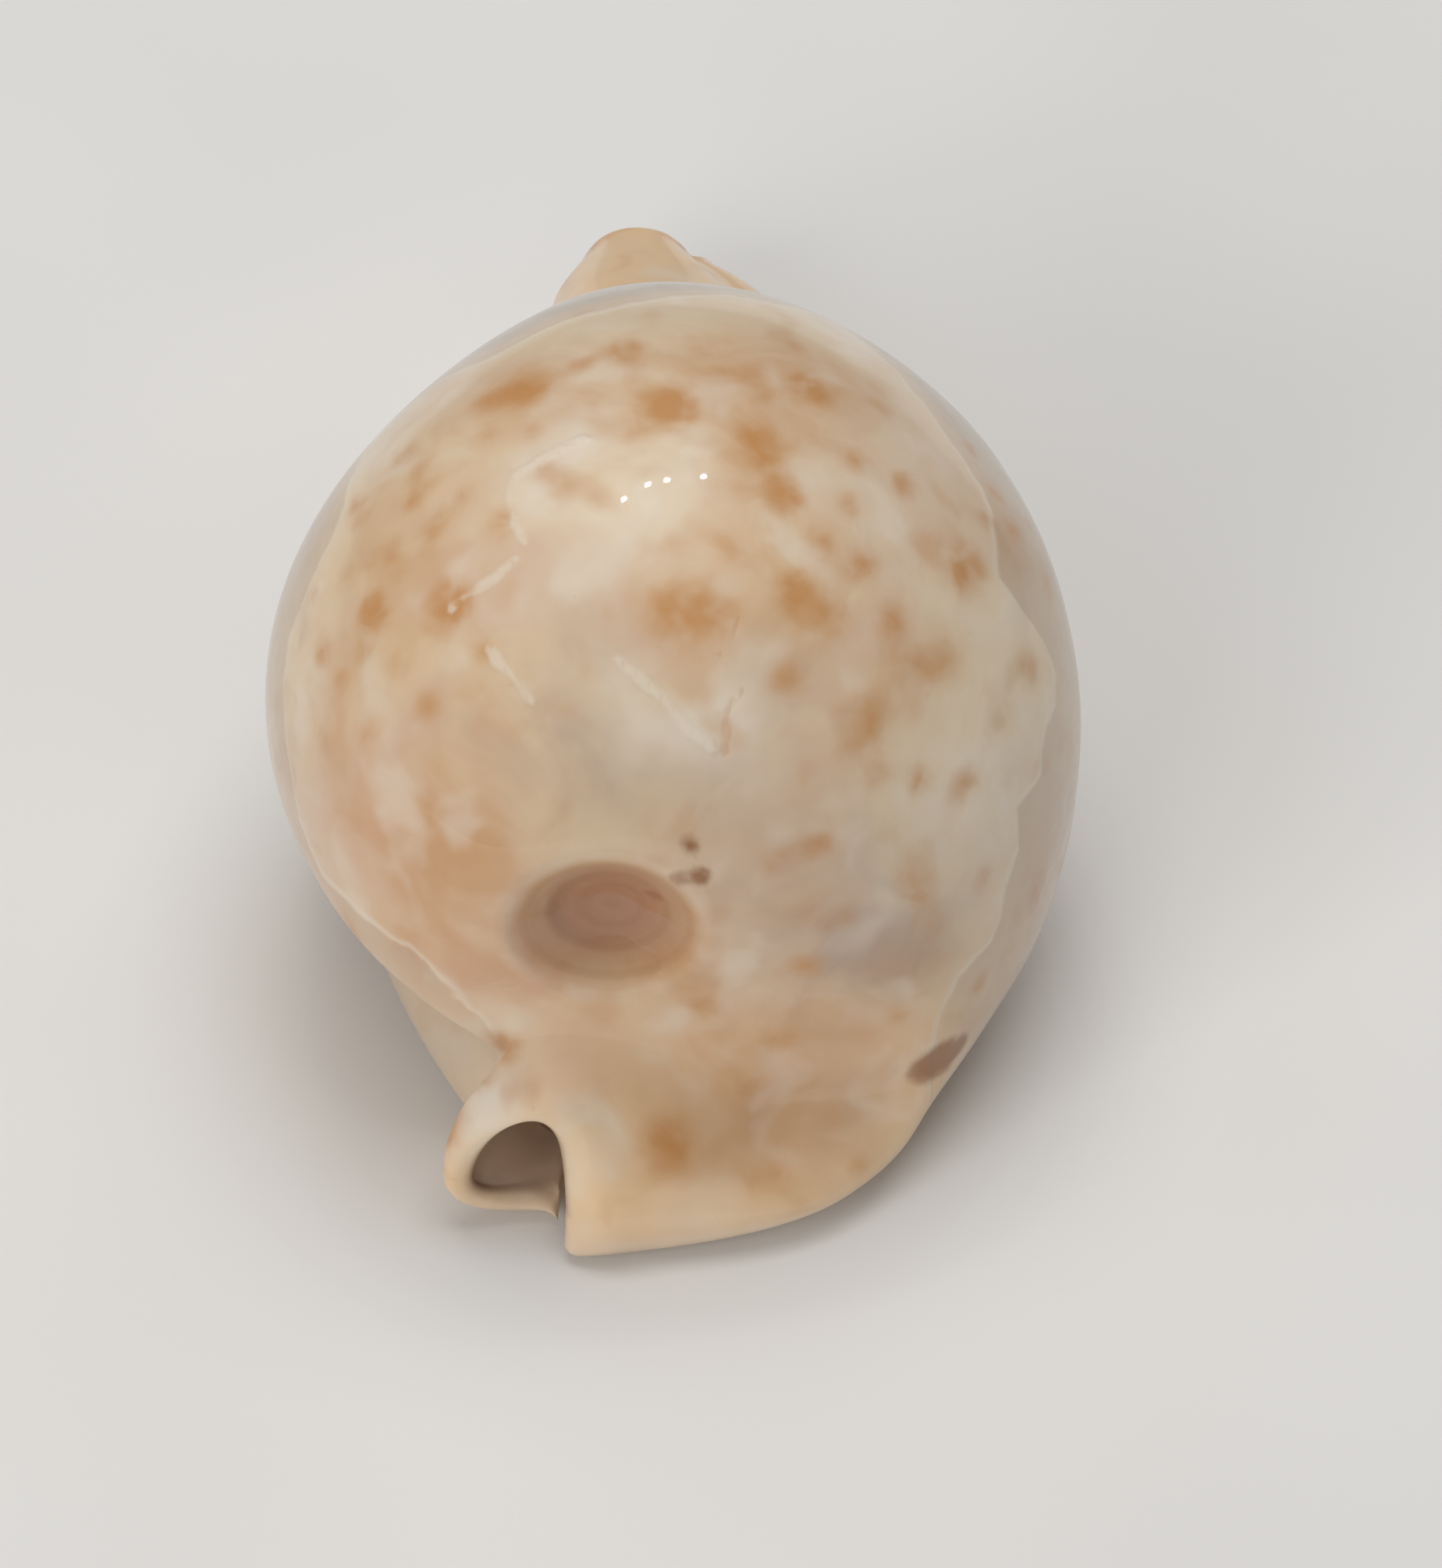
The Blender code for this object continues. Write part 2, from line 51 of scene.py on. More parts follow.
towards_camera = Vector((0, -math.cos(CAMERA_ELEVATION), math.sin(CAMERA_ELEVATION)))
camera_up = Vector((0, math.sin(CAMERA_ELEVATION), math.cos(CAMERA_ELEVATION)))
camera_data = bpy.data.cameras.new("camera")
camera_data.sensor_fit = "VERTICAL"
camera_data.sensor_height = SENSOR_MM
camera_data.lens = LENS_MM
camera = bpy.data.objects.new("camera", camera_data)
camera.location = CAMERA_TARGET + towards_camera * CAMERA_DISTANCE
camera.rotation_euler = (math.pi / 2 - CAMERA_ELEVATION, 0, 0)
bpy.context.scene.collection.objects.link(camera)
bpy.context.scene.camera = camera


def in_photo(points):
    """Where points of the row frame fall in the photograph, in its pixels."""
    out = points - np.array(camera.location)
    depth = out @ -np.array(towards_camera)
    focal = LENS_MM / SENSOR_MM * PHOTO_HEIGHT
    return np.stack([PHOTO_WIDTH / 2 + focal * out[..., 0] / depth,
                     PHOTO_HEIGHT / 2 - focal * (out @ np.array(camera_up)) / depth], axis=-1)


# The shell is one piece of aragonite that the animal laid down layer on layer, from its spire end
# forward, and then glazed all over from outside. Its measures below are in millimetres, read at
# stations 0 to 17 from the spout's rim to the front beak's rim, with smooth curves between.
MM = 0.001
BODY_Y = {8: 20.0, 9: 29.0, 10: 38.0, 11: 46.0, 12: 53.0, 13: 58.5, 14: 64.0, 15: 70.0}
RAILS = dict(
    y_right={0: 1.3, 0.4: 1.2, 1: 1.6, 2: 3.6, 3: 6.4, 4: 8.4, 5: 10.2, 6: 12.4, 7: 15.4, **BODY_Y,
             16: 77.4, 17: 79.4},
    y_top={0: 4.7, 1: 5.7, 2: 7.0, 3: 8.4, 4: 8.6, 5: 8.4, 6: 10.2, 7: 14.2, **BODY_Y, 16: 75.6, 17: 80.8},
    y_left={0: 4.0, 1: 4.8, 2: 6.0, 3: 8.2, 4: 9.0, 5: 9.6, 6: 11.0, 7: 14.0, **BODY_Y, 16: 77.4, 17: 80.0},
    right_x={0: -2.2, 0.4: 0.6, 1: 5.2, 2: 10.4, 3: 14.0, 4: 15.8, 5: 17.4, 6: 19.2, 7: 21.4, 8: 23.8,
             9: 25.4, 10: 23.4, 11: 20.4, 12: 16.4, 13: 12.6, 14: 9.8, 15: 8.4, 16: 7.0, 17: 3.6},
    right_z={0: 2.8, 1: 2.8, 2: 3.2, 3: 4.2, 4: 6.2, 5: 8.4, 6: 10.4, 7: 13.0, 8: 15.5, 9: 17.5, 10: 17.0,
             11: 14.5, 12: 11.5, 13: 9.0, 14: 7.0, 15: 6.0, 16: 5.5, 17: 5.5},
    top_x={0: -6.0, 1: -5.5, 2: -5.2, 3: -5.1, 4: -5.2, 5: -5.0, 6: -4.2, 7: -2.8, 8: -1.3, 9: 0.2, 10: 0.3,
           11: 0.0, 12: -0.6, 13: -1.1, 14: -0.9, 15: -1.6, 16: -2.3, 17: -2.8},
    top_z={0: 11.3, 1: 11.6, 2: 12.0, 3: 13.8, 4: 19.0, 5: 25.2, 6: 30.8, 7: 35.8, 8: 40.0, 9: 42.2, 10: 41.7,
           11: 38.5, 12: 32.3, 13: 25.2, 14: 18.9, 15: 14.4, 16: 12.0, 17: 10.5},
    left_x={0: -13.6, 1: -13.4, 2: -12.4, 3: -9.8, 4: -10.4, 5: -13.4, 6: -16.2, 7: -19.4, 8: -22.6,
            9: -24.6, 10: -23.0, 11: -18.2, 12: -13.0, 13: -9.6, 14: -7.8, 15: -8.0, 16: -8.2, 17: -6.6},
    left_z={0: 4.6, 1: 5.6, 2: 7.6, 3: 10.6, 4: 12.9, 5: 14.4, 6: 15.8, 7: 17.4, 8: 18.6, 9: 19.0, 10: 18.0,
            11: 15.5, 12: 12.0, 13: 9.3, 14: 7.2, 15: 6.0, 16: 5.5, 17: 5.5},
    slit_x={0: -6.4, 2: -5.6, 4: -4.0, 6: -2.2, 8: -0.2, 9: 0.9, 10: 0.9, 11: 0.6, 12: 0.2, 13: -0.1,
            15: -0.9, 17: -1.8},
    slit_width={0: 0.4, 2: 1.0, 4: 2.0, 8: 3.0, 9: 3.6, 10: 4.3, 11: 4.8, 13: 5.1, 15: 4.8, 17: 4.5},
    base_z={0: 0.5, 2: 0.2, 4: 0.0, 9: -0.3, 13: 0.0, 15: 0.8, 17: 2.4},
    hollow_left={0: -12.0, 2: -10.2, 3: -8.2, 4: -7.0, 5: -6.6, 6: -7.4, 7: -9.4, 8: -14.0, 9: -21.4,
                 10: -20.8, 11: -16.6, 12: -11.6, 13: -8.0, 14: -6.0, 15: -5.6, 17: -5.0},
    hollow_right={0: -6.2, 2: -5.1, 3: -3.8, 4: -1.8, 5: 1.0, 6: 5.0, 7: 11.0, 8: 18.0, 9: 22.4,
                  10: 21.9, 11: 18.2, 12: 12.6, 13: 8.2, 14: 5.0, 15: 3.8, 17: 2.6},
    hollow_left_power={0: 1.5, 3: 1.6, 6: 2.0, 17: 2.0},
    hollow_crest={0: 0.62, 4: 0.6, 7: 0.5, 17: 0.5},
    hollow_top={0: 10.0, 2: 10.2, 3: 10.6, 4: 11.4, 5: 12.6, 6: 15.0, 7: 21.0, 8: 33.0, 9: 39.4, 10: 38.6,
                11: 34.4, 12: 27.6, 13: 20.6, 14: 14.6, 15: 11.4, 17: 8.6},
    floor_z={0: 2.2, 2: 2.6, 4: 3.2, 6: 4.0, 8: 4.6, 10: 4.4, 12: 4.0, 14: 3.6, 17: 4.2},
    overhang={0: 0.0, 2: 0.0, 3: 0.8, 4: 1.0, 7: 1.0, 8: 0.8, 9: 0.4, 11: 0.0, 17: 0.0},
    fold_x={0: -9.0, 3: -9.2, 4: -9.0, 5: -9.8, 6: -10.8, 7: -12.4, 8: -16.2, 9: -20.6, 17: -8.0},
    fold_z={0: 6.0, 3: 7.0, 4: 8.0, 6: 7.8, 9: 8.4, 17: 4.0},
    margin_x={0: -12.4, 3: -11.6, 4: -11.6, 5: -11.8, 6: -12.2, 7: -14.0, 8: -17.0, 9: -20.2, 17: -8.0},
    margin_z={0: 3.4, 3: 3.4, 6: 3.0, 9: 4.0, 17: 3.0},
    beak_crease={0: 0.0, 13: 0.0, 15: 0.4, 17: 0.9},
    beak_crease_at={0: 0.4, 14: 0.4, 17: 0.5},
    base_power={0: 2.0, 2: 2.2, 6: 2.5, 9: 2.7, 13: 2.4, 17: 2.0},
    right_dome_power={0: 1.8, 1: 1.3, 2: 1.25, 3: 1.35, 4: 1.75, 5: 2.0, 6: 2.05, 17: 2.05},
    right_dip={0: 0.0, 1: 1.6, 2: 2.6, 3: 3.0, 4: 2.4, 5: 1.0, 6: 0.3, 7: 0.0, 17: 0.0},
    lip_setback={0: 1.3, 2: 1.2, 4: 0.4, 6: 0.0, 17: 0.0},
    lip_radius={0: 0.25, 2: 0.35, 4: 0.7, 6: 0.9, 17: 0.9},
)
LEFT_DOME_POWER = 2.05
HOLLOW_BASE_POWER = 2.2
HOLLOW_RIGHT_POWER = 2.0
CREASE_WIDTH = 0.11
RIGHT_DIP_AT = 0.38
RIGHT_DIP_WIDTH = 0.22
CREST_SOFTNESS = 1.6
CREST_BLEND = 6.0
SLIT_BLEND = 1.2
REST_DEPTH = 0.6
LAST_STATION = 17
SPIRE_END_STATION = 7.0

# The soft groove where the whorl meets the outer lip, and the bowl of the sunken spire.
RIGHT_GROOVE_PATH = [(3.5, 6.8, 8.6), (6.2, 7.0, 7.6), (9.5, 7.2, 7.6), (12.8, 7.6, 7.9), (15.2, 8.6, 8.6),
                     (17.8, 10.9, 8.7)]
RIGHT_GROOVE_INWARD = (-0.15, 0.85, -0.5)
RIGHT_GROOVE_DEPTH = 0.7
RIGHT_GROOVE_WIDTH = 1.6
SPIRE_CENTRE = (-3.5, 8.4, 22.3)
SPIRE_AXIS = (0.1, 0.97, -0.15)
SPIRE_RADIUS = 5.8
SPIRE_DEPTH = 2.8
BOWL_REACH = 1.06
BOWL_POWERS = (2.4, 1.5)
WHORL_STEP = 0.16
WHORLS = 2.4
SPIRE_NEAR = 8.0

TOOTH_PITCH = 2.8
TOOTH_HEIGHT = 0.45
RIGHT_TOOTH_LENGTH = 4.5
LEFT_TOOTH_LENGTH = 3.0
TEETH_START_Y = 15.0
TEETH_END_Y = 74.0

# How finely the surface is laid out: points round each stretch of a ring, and rings along the shell.
LIP_POINTS = 8
RIGHT_BASE_POINTS = 40
DOME_POINTS = 84
LEFT_BASE_POINTS = 56
WALL_POINTS = 6
HOLLOW_BASE_POINTS = 12
HOLLOW_DOME_POINTS = 22
QUADRANT_SAMPLES = 260
LINE_SAMPLES = 240
CREST_SAMPLES = 641
FOLD_SAMPLES = 90
OUTER_COUNT = 2 * LIP_POINTS + RIGHT_BASE_POINTS + LEFT_BASE_POINTS + 2 * DOME_POINTS
DOME_START = LIP_POINTS + RIGHT_BASE_POINTS
STATION_SAMPLES = 3401
SPIRE_END_RINGS = 84
BODY_RINGS = 140
RIM_RINGS = 9
RIM_FULLNESS = 0.9
RIM_EVENED_POINTS = 21
LEAST_RIM_ROUNDING = 0.6
MOST_RIM_ROUNDING = 1.9


def rail(knots, at):
    """The natural cubic spline through a rail's knots, read at the stations given."""
    x = np.array(sorted(knots), float)
    v = np.array([knots[k] for k in sorted(knots)], float)
    h = np.diff(x)
    slope = np.diff(v) / h
    system = np.eye(len(x))
    right = np.zeros(len(x))
    for i in range(1, len(x) - 1):
        system[i, i - 1:i + 2] = h[i - 1], 2 * (h[i - 1] + h[i]), h[i]
        right[i] = 6 * (slope[i] - slope[i - 1])
    bend = np.linalg.solve(system, right)
    at = np.asarray(at, float)
    i = np.clip(np.searchsorted(x, at, side="right") - 1, 0, len(h) - 1)
    left, over = at - x[i], x[i + 1] - at
    return ((bend[i] * over ** 3 + bend[i + 1] * left ** 3) / (6 * h[i])
            + (v[i] / h[i] - bend[i] * h[i] / 6) * over
            + (v[i + 1] / h[i] - bend[i + 1] * h[i] / 6) * left)


def bump(value, centre, width):
    """A smooth hump of height 1."""
    return np.exp(-((value - centre) / width) ** 2)


def smooth_step(value):
    t = np.clip(value, 0.0, 1.0)
    return t * t * (3 - 2 * t)


def quadrant(flank, pole, power):
    """A quarter of a superellipse from the flank, where it runs upright, to the pole, where it lies level."""
    a = np.linspace(0, math.pi / 2, QUADRANT_SAMPLES)
    x = pole[0] + (flank[0] - pole[0]) * np.cos(a) ** (2 / power)
    z = flank[1] + (pole[1] - flank[1]) * np.sin(a) ** (2 / power)
    return np.column_stack([x, z])


def even_points(line, count, ends=False):
    """Points spread evenly along a line, without its last one unless ends is set."""
    run = np.concatenate([[0], np.cumsum(np.linalg.norm(np.diff(line, axis=0), axis=1))])
    at = np.linspace(0, run[-1], count + 1)
    if not ends:
        at = at[:-1]
    return np.column_stack([np.interp(at, run, line[:, k]) for k in range(line.shape[1])])


def shifted(line, amount):
    """A line moved sideways by an amount at each of its points, to the left of its run."""
    along = np.gradient(line, axis=0)
    along /= np.maximum(np.linalg.norm(along, axis=1, keepdims=True), 1e-9)
    return line + np.column_stack([-along[:, 1], along[:, 0]]) * np.asarray(amount)[:, None]


def corner(before, at, after, count):
    """A rounded corner, from before to after, that aims at the point between them."""
    t = np.linspace(0, 1, count + 1)[:-1, None]
    return (1 - t) ** 2 * before + 2 * t * (1 - t) * at + t ** 2 * after


def softened(right_dome, left_dome):
    """Rounds the crest where the two halves of the dome meet."""
    line = np.vstack([right_dome, left_dome[1:]])
    run = np.concatenate([[0], np.cumsum(np.linalg.norm(np.diff(line, axis=0), axis=1))])
    crest = run[len(right_dome) - 1]
    even = np.linspace(0, run[-1], CREST_SAMPLES)
    fine = np.column_stack([np.interp(even, run, line[:, k]) for k in (0, 1)])
    step = even[1]
    span = int(math.ceil(CREST_SOFTNESS / step))
    padded = np.pad(fine, ((span, span), (0, 0)), mode="edge")
    mean = sum(padded[k:k + len(fine)] for k in range(2 * span + 1)) / (2 * span + 1)
    near = smooth_step(2.2 - np.abs(even - crest) / (1.6 * CREST_SOFTNESS))[:, None]
    near = near * (smooth_step(np.minimum(even, run[-1] - even) / CREST_SOFTNESS - 1))[:, None]
    fine = fine + (mean - fine) * near
    split = int(round(crest / step))
    return fine[:split + 1], fine[split:]


def overhung(m, flank, seat):
    """The left of the base where the whorl overhangs it: in to the fold, out to the margin, to the lip."""
    t = np.linspace(0, 1, FOLD_SAMPLES)
    turn = smooth_step(t)
    fold, margin = (m["fold_x"], m["fold_z"]), (m["margin_x"], m["margin_z"])
    inward = np.column_stack([flank[0] + (fold[0] - flank[0]) * turn, flank[1] + (fold[1] - flank[1]) * t])
    outward = np.column_stack([fold[0] + (margin[0] - fold[0]) * turn, fold[1] + (margin[1] - fold[1]) * t])
    return np.vstack([inward[:-1], outward[:-1], quadrant(margin, seat, m["base_power"])])


def outer_lines(m):
    """The outside of one section as four lines: lip to right flank, to crest, to left flank, to lip."""
    crest = (m["top_x"], m["top_z"])
    right = (m["right_x"], m["right_z"])
    left = (m["left_x"], m["left_z"])
    seat = (m["slit_x"], m["base_z"])
    along = np.linspace(0, 1, LINE_SAMPLES)
    right_dome = even_points(quadrant(right, crest, m["right_dome_power"]), LINE_SAMPLES - 1, ends=True)
    right_dome = shifted(right_dome, m["beak_crease"] * bump(along, m["beak_crease_at"], CREASE_WIDTH)
                         + m["right_dip"] * bump(along, RIGHT_DIP_AT, RIGHT_DIP_WIDTH))
    left_dome = even_points(quadrant(left, crest, LEFT_DOME_POWER)[::-1], LINE_SAMPLES - 1, ends=True)
    right_dome, left_dome = softened(right_dome, left_dome)
    right_base = quadrant(right, seat, m["base_power"])[::-1]
    plain = even_points(quadrant(left, seat, m["base_power"]), LINE_SAMPLES - 1, ends=True)
    under = even_points(overhung(m, left, seat), LINE_SAMPLES - 1, ends=True)
    return right_base, right_dome, left_dome, plain + (under - plain) * m["overhang"]


def hollow_lines(m):
    """The wall of the hollow in one section, in the same order as the outside."""
    middle = 0.45 * m["floor_z"] + 0.55 * min(m["left_z"], m["hollow_top"] - 1.5)
    crest = (m["hollow_left"] + m["hollow_crest"] * (m["hollow_right"] - m["hollow_left"]), m["hollow_top"])
    seat = (m["slit_x"], m["floor_z"])
    left = (m["hollow_left"], middle)
    right = (m["hollow_right"], middle)
    return (quadrant(right, seat, HOLLOW_BASE_POWER)[::-1], quadrant(right, crest, HOLLOW_RIGHT_POWER),
            quadrant(left, crest, m["hollow_left_power"])[::-1],
            quadrant(left, seat, HOLLOW_BASE_POWER))


def cut_at(line, x, from_right):
    """The part of a base line that lies on its own side of the slit."""
    keep = line[:, 0] >= x if from_right else line[:, 0] <= x
    return line[keep]


def ring(m):
    """The closed outline of one section, from the outer lip round the outside and back through the hollow."""
    half = m["slit_width"] / 2
    right_edge, left_edge = m["slit_x"] + half, m["slit_x"] - half
    right_base, right_dome, left_dome, left_base = outer_lines(m)
    in_right_base, in_right_dome, in_left_dome, in_left_base = hollow_lines(m)
    r = min(m["lip_radius"], 0.45 * (m["floor_z"] - m["base_z"]))
    outer_r = cut_at(right_base, right_edge + r, True)
    outer_l = cut_at(left_base, left_edge - r, False)
    inner_r = cut_at(in_right_base, right_edge + 0.6 * r, True)
    inner_l = cut_at(in_left_base, left_edge - 0.6 * r, False)
    if len(inner_r) < 2:
        inner_r = in_right_base[-2:]
    wall_low = np.array([0.0, r])
    wall_high = np.array([0.0, 0.6 * r])
    right_foot, left_foot = np.array([right_edge, outer_r[0, 1]]), np.array([left_edge, outer_l[-1, 1]])
    right_sill, left_sill = np.array([right_edge, inner_r[0, 1]]), np.array([left_edge, inner_l[-1, 1]])
    return np.vstack([
        corner(right_foot + wall_low, right_foot, outer_r[0], LIP_POINTS),
        even_points(outer_r, RIGHT_BASE_POINTS),
        even_points(right_dome, DOME_POINTS),
        even_points(left_dome, DOME_POINTS),
        even_points(outer_l, LEFT_BASE_POINTS),
        corner(outer_l[-1], left_foot, left_foot + wall_low, LIP_POINTS),
        even_points(np.array([left_foot + wall_low, left_sill - wall_high]), WALL_POINTS),
        corner(left_sill - wall_high, left_sill, inner_l[-1], 1),
        even_points(inner_l[::-1], HOLLOW_BASE_POINTS),
        even_points(in_left_dome[::-1], HOLLOW_DOME_POINTS),
        even_points(in_right_dome[::-1], HOLLOW_DOME_POINTS),
        even_points(inner_r[::-1], HOLLOW_BASE_POINTS),
        corner(inner_r[0], right_sill, right_sill - wall_high, 1),
        even_points(np.array([right_sill - wall_high, right_foot + wall_low]), WALL_POINTS),
    ])


def lengthwise(points, m):
    """How far forward each point of a section lies: the two sides and the crest have their own place."""
    x, z = points[:, 0], points[:, 1]
    up = smooth_step((z - m["right_z"]) / max(m["top_z"] - m["right_z"], 1e-6))
    low = smooth_step((z - m["left_z"]) / max(m["top_z"] - m["left_z"], 1e-6))
    right = m["y_right"] + (m["y_top"] - m["y_right"]) * up
    left = m["y_left"] + (m["y_top"] - m["y_left"]) * low
    left += m["lip_setback"] * smooth_step((x - m["left_x"]) / (m["slit_x"] - m["left_x"])) * (1 - low)
    across = smooth_step((x - (m["slit_x"] - SLIT_BLEND / 2)) / SLIT_BLEND)
    over = smooth_step(0.5 + (x - m["top_x"]) / CREST_BLEND)
    side = np.where(z > 0.5 * (m["top_z"] + m["left_z"]), over, across)
    return left + (right - left) * side


def cut_teeth(points, m):
    """Ridges and gaps in turn across both lips, as rounded teeth with wider gaps between."""
    x, z = points[:, 0], points[:, 2]
    y = m["y_top"]
    fade = smooth_step((y - TEETH_START_Y) / 3) * smooth_step((TEETH_END_Y - y) / 3)
    lift = TOOTH_HEIGHT * fade * (smooth_step(0.5 + 0.9 * math.cos(2 * math.pi * y / TOOTH_PITCH)) - 0.5)
    half = m["slit_width"] / 2
    side = np.where(x > m["slit_x"], 1.0, -1.0)
    away = np.abs(x - m["slit_x"]) - half
    reach = np.where(side > 0, RIGHT_TOOTH_LENGTH, LEFT_TOOTH_LENGTH)
    low = smooth_step((m["floor_z"] - z) / 1.0 + 0.4)
    moved = points.copy()
    moved[:, 0] -= side * smooth_step(1.0 - away / 0.8) * low * lift
    moved[:, 2] -= smooth_step(1.1 - away / reach) * low * lift
    return moved


# Which points of a ring's outside and of its hollow stand across the wall from each other.
INNER_COUNT = 2 * (WALL_POINTS + HOLLOW_BASE_POINTS + HOLLOW_DOME_POINTS + 1)
hollow_start = WALL_POINTS + HOLLOW_BASE_POINTS
outer_marks = [0, DOME_START, DOME_START + DOME_POINTS, DOME_START + 2 * DOME_POINTS, OUTER_COUNT - 1]
inner_marks = [0, hollow_start, hollow_start + HOLLOW_DOME_POINTS, hollow_start + 2 * HOLLOW_DOME_POINTS,
               INNER_COUNT - 1]
partner = np.interp(np.arange(OUTER_COUNT), outer_marks, inner_marks)
partner_back = np.interp(np.arange(INNER_COUNT), inner_marks, outer_marks)


def middle_line(points):
    """The middle of the wall beside each ring point, which the rounded rims close towards."""
    outer, inner = points[:OUTER_COUNT], points[OUTER_COUNT:][::-1]
    across = np.column_stack([np.interp(partner, np.arange(INNER_COUNT), inner[:, k]) for k in range(2)])
    middle = 0.5 * (outer + across)
    middle_in = np.column_stack([np.interp(partner_back, np.arange(OUTER_COUNT), middle[:, k])
                                 for k in range(2)])
    return np.vstack([middle, middle_in[::-1]])


def rim(edge, outward):
    """The rings that round off one end of the wall."""
    middle = middle_line(edge[:, [0, 2]])
    half_wall = np.linalg.norm(edge[:, [0, 2]] - middle, axis=1)
    rounding = np.clip(RIM_FULLNESS * half_wall, LEAST_RIM_ROUNDING, MOST_RIM_ROUNDING)
    count = len(rounding)
    evened = np.convolve(np.tile(rounding, 3), np.ones(RIM_EVENED_POINTS) / RIM_EVENED_POINTS, "same")
    rounding = evened[count:2 * count]
    made = []
    for k in range(1, RIM_RINGS + 1):
        turn = 0.5 * math.pi * k / (RIM_RINGS + 0.1)
        flat = middle + (edge[:, [0, 2]] - middle) * math.cos(turn)
        y = edge[:, 1] + outward * rounding * math.sin(turn)
        made.append(np.column_stack([flat[:, 0], y, flat[:, 1]]))
    return made


def spire_place(points):
    """Each point's place about the spire: distance in bowl radii, turn about the axis, and height."""
    axis = np.array(SPIRE_AXIS) / np.linalg.norm(SPIRE_AXIS)
    out = points - np.array(SPIRE_CENTRE)
    along = out @ axis
    flat = out - along[..., None] * axis
    return np.linalg.norm(flat, axis=-1) / SPIRE_RADIUS, np.arctan2(flat[..., 2], flat[..., 0]), along


def press_spire(points):
    """Sinks the spire into the face above the spout, with its whorls as faint coiling steps."""
    axis = np.array(SPIRE_AXIS) / np.linalg.norm(SPIRE_AXIS)
    radius, turn, along = spire_place(points)
    bowl = SPIRE_DEPTH * np.clip(1 - (radius / BOWL_REACH) ** BOWL_POWERS[0], 0, 1) ** BOWL_POWERS[1]
    coil = (radius * WHORLS + turn / (2 * math.pi)) % 1.0
    steps = WHORL_STEP * (smooth_step(coil / 0.8) - smooth_step((coil - 0.8) / 0.2) - 0.5)
    steps = steps * smooth_step((1.15 - radius) / 0.3) * smooth_step(radius / 0.25)
    near = smooth_step((SPIRE_NEAR - np.abs(along)) / 3.0)
    return points + ((bowl + steps) * near)[..., None] * axis


def press_groove(points):
    """Draws in the surface along the groove above the outer lip."""
    path = np.array(RIGHT_GROOVE_PATH)
    nearest = np.full(points.shape[:-1], np.inf)
    share = np.zeros(points.shape[:-1])
    for i in range(len(path) - 1):
        run = path[i + 1] - path[i]
        t = np.clip((points - path[i]) @ run / (run @ run), 0, 1)
        away = np.linalg.norm(points - path[i] - t[..., None] * run, axis=-1)
        share = np.where(away < nearest, (i + t) / (len(path) - 1), share)
        nearest = np.minimum(nearest, away)
    fade = smooth_step(share / 0.3) * smooth_step((1 - share) / 0.3)
    depth = RIGHT_GROOVE_DEPTH * fade * bump(nearest, 0, RIGHT_GROOVE_WIDTH)
    return points + depth[..., None] * np.array(RIGHT_GROOVE_INWARD)


body_stations = np.linspace(0, LAST_STATION, STATION_SAMPLES)
body_y = rail(RAILS["y_top"], body_stations)
first_y, last_y = rail(RAILS["y_top"], [SPIRE_END_STATION, LAST_STATION])
in_body = body_stations > SPIRE_END_STATION
stations = np.concatenate([np.linspace(0, SPIRE_END_STATION, SPIRE_END_RINGS),
                           np.interp(np.linspace(first_y, last_y, BODY_RINGS + 1)[1:],
                                     body_y[in_body], body_stations[in_body])])
readings = {name: rail(knots, stations) for name, knots in RAILS.items()}
rings = []
for i in range(len(stations)):
    m = {name: float(values[i]) for name, values in readings.items()}
    flat = ring(m)
    rings.append(cut_teeth(np.column_stack([flat[:, 0], lengthwise(flat, m), flat[:, 1]]), m))
form = np.array([*rim(rings[0], -1)[::-1], *rings, *rim(rings[-1], 1)])
ring_station = np.concatenate([np.zeros(RIM_RINGS), stations, np.full(RIM_RINGS, LAST_STATION)])
design = form.copy()
form[:, :OUTER_COUNT] = press_groove(press_spire(form[:, :OUTER_COUNT]))

# A light smoothing takes the last facets out of the dome, as the animal's own glaze does.
DOME_PASSES = 3
RIM_END = 8
for _ in range(DOME_PASSES):
    across = 0.5 * (np.roll(form, 1, axis=1) + np.roll(form, -1, axis=1))
    form[:, DOME_START:DOME_START + 2 * DOME_POINTS] = (
        0.5 * (form + across))[:, DOME_START:DOME_START + 2 * DOME_POINTS]
    beside = form[RIM_END - 1:-RIM_END - 1] + form[RIM_END + 1:-RIM_END + 1]
    form[RIM_END:-RIM_END] = 0.5 * form[RIM_END:-RIM_END] + 0.25 * beside

# Round the spout and its beak the lip is one thick soft roll, with no edge left where the rim begins.
ROLL_RINGS = 34
INNER_ROLL_RINGS = 16
OUTER_FADE_RINGS = 14
INNER_FADE_RINGS = 8
ROLL_PASSES = 70
ALONG_SHARE = 0.4
ABOUT_SHARE = 0.15
RIM_SEAM = 0.03
outer_roll = np.zeros((ring_station.size, 1, 1))
outer_roll[1:ROLL_RINGS, 0, 0] = smooth_step((ROLL_RINGS - np.arange(1, ROLL_RINGS)) / OUTER_FADE_RINGS)
inner_roll = np.zeros((ring_station.size, 1, 1))
inner_roll[1:INNER_ROLL_RINGS, 0, 0] = smooth_step(
    (INNER_ROLL_RINGS - np.arange(1, INNER_ROLL_RINGS)) / INNER_FADE_RINGS)


def eased(skin, share):
    """One pass of smoothing along and round a stretch of the surface, as much as share says."""
    along, about = skin.copy(), skin.copy()
    along[1:-1] = 0.5 * (skin[:-2] + skin[2:])
    about[:, 1:-1] = 0.5 * (skin[:, :-2] + skin[:, 2:])
    return skin + share * (ALONG_SHARE * (along - skin) + ABOUT_SHARE * (about - skin))


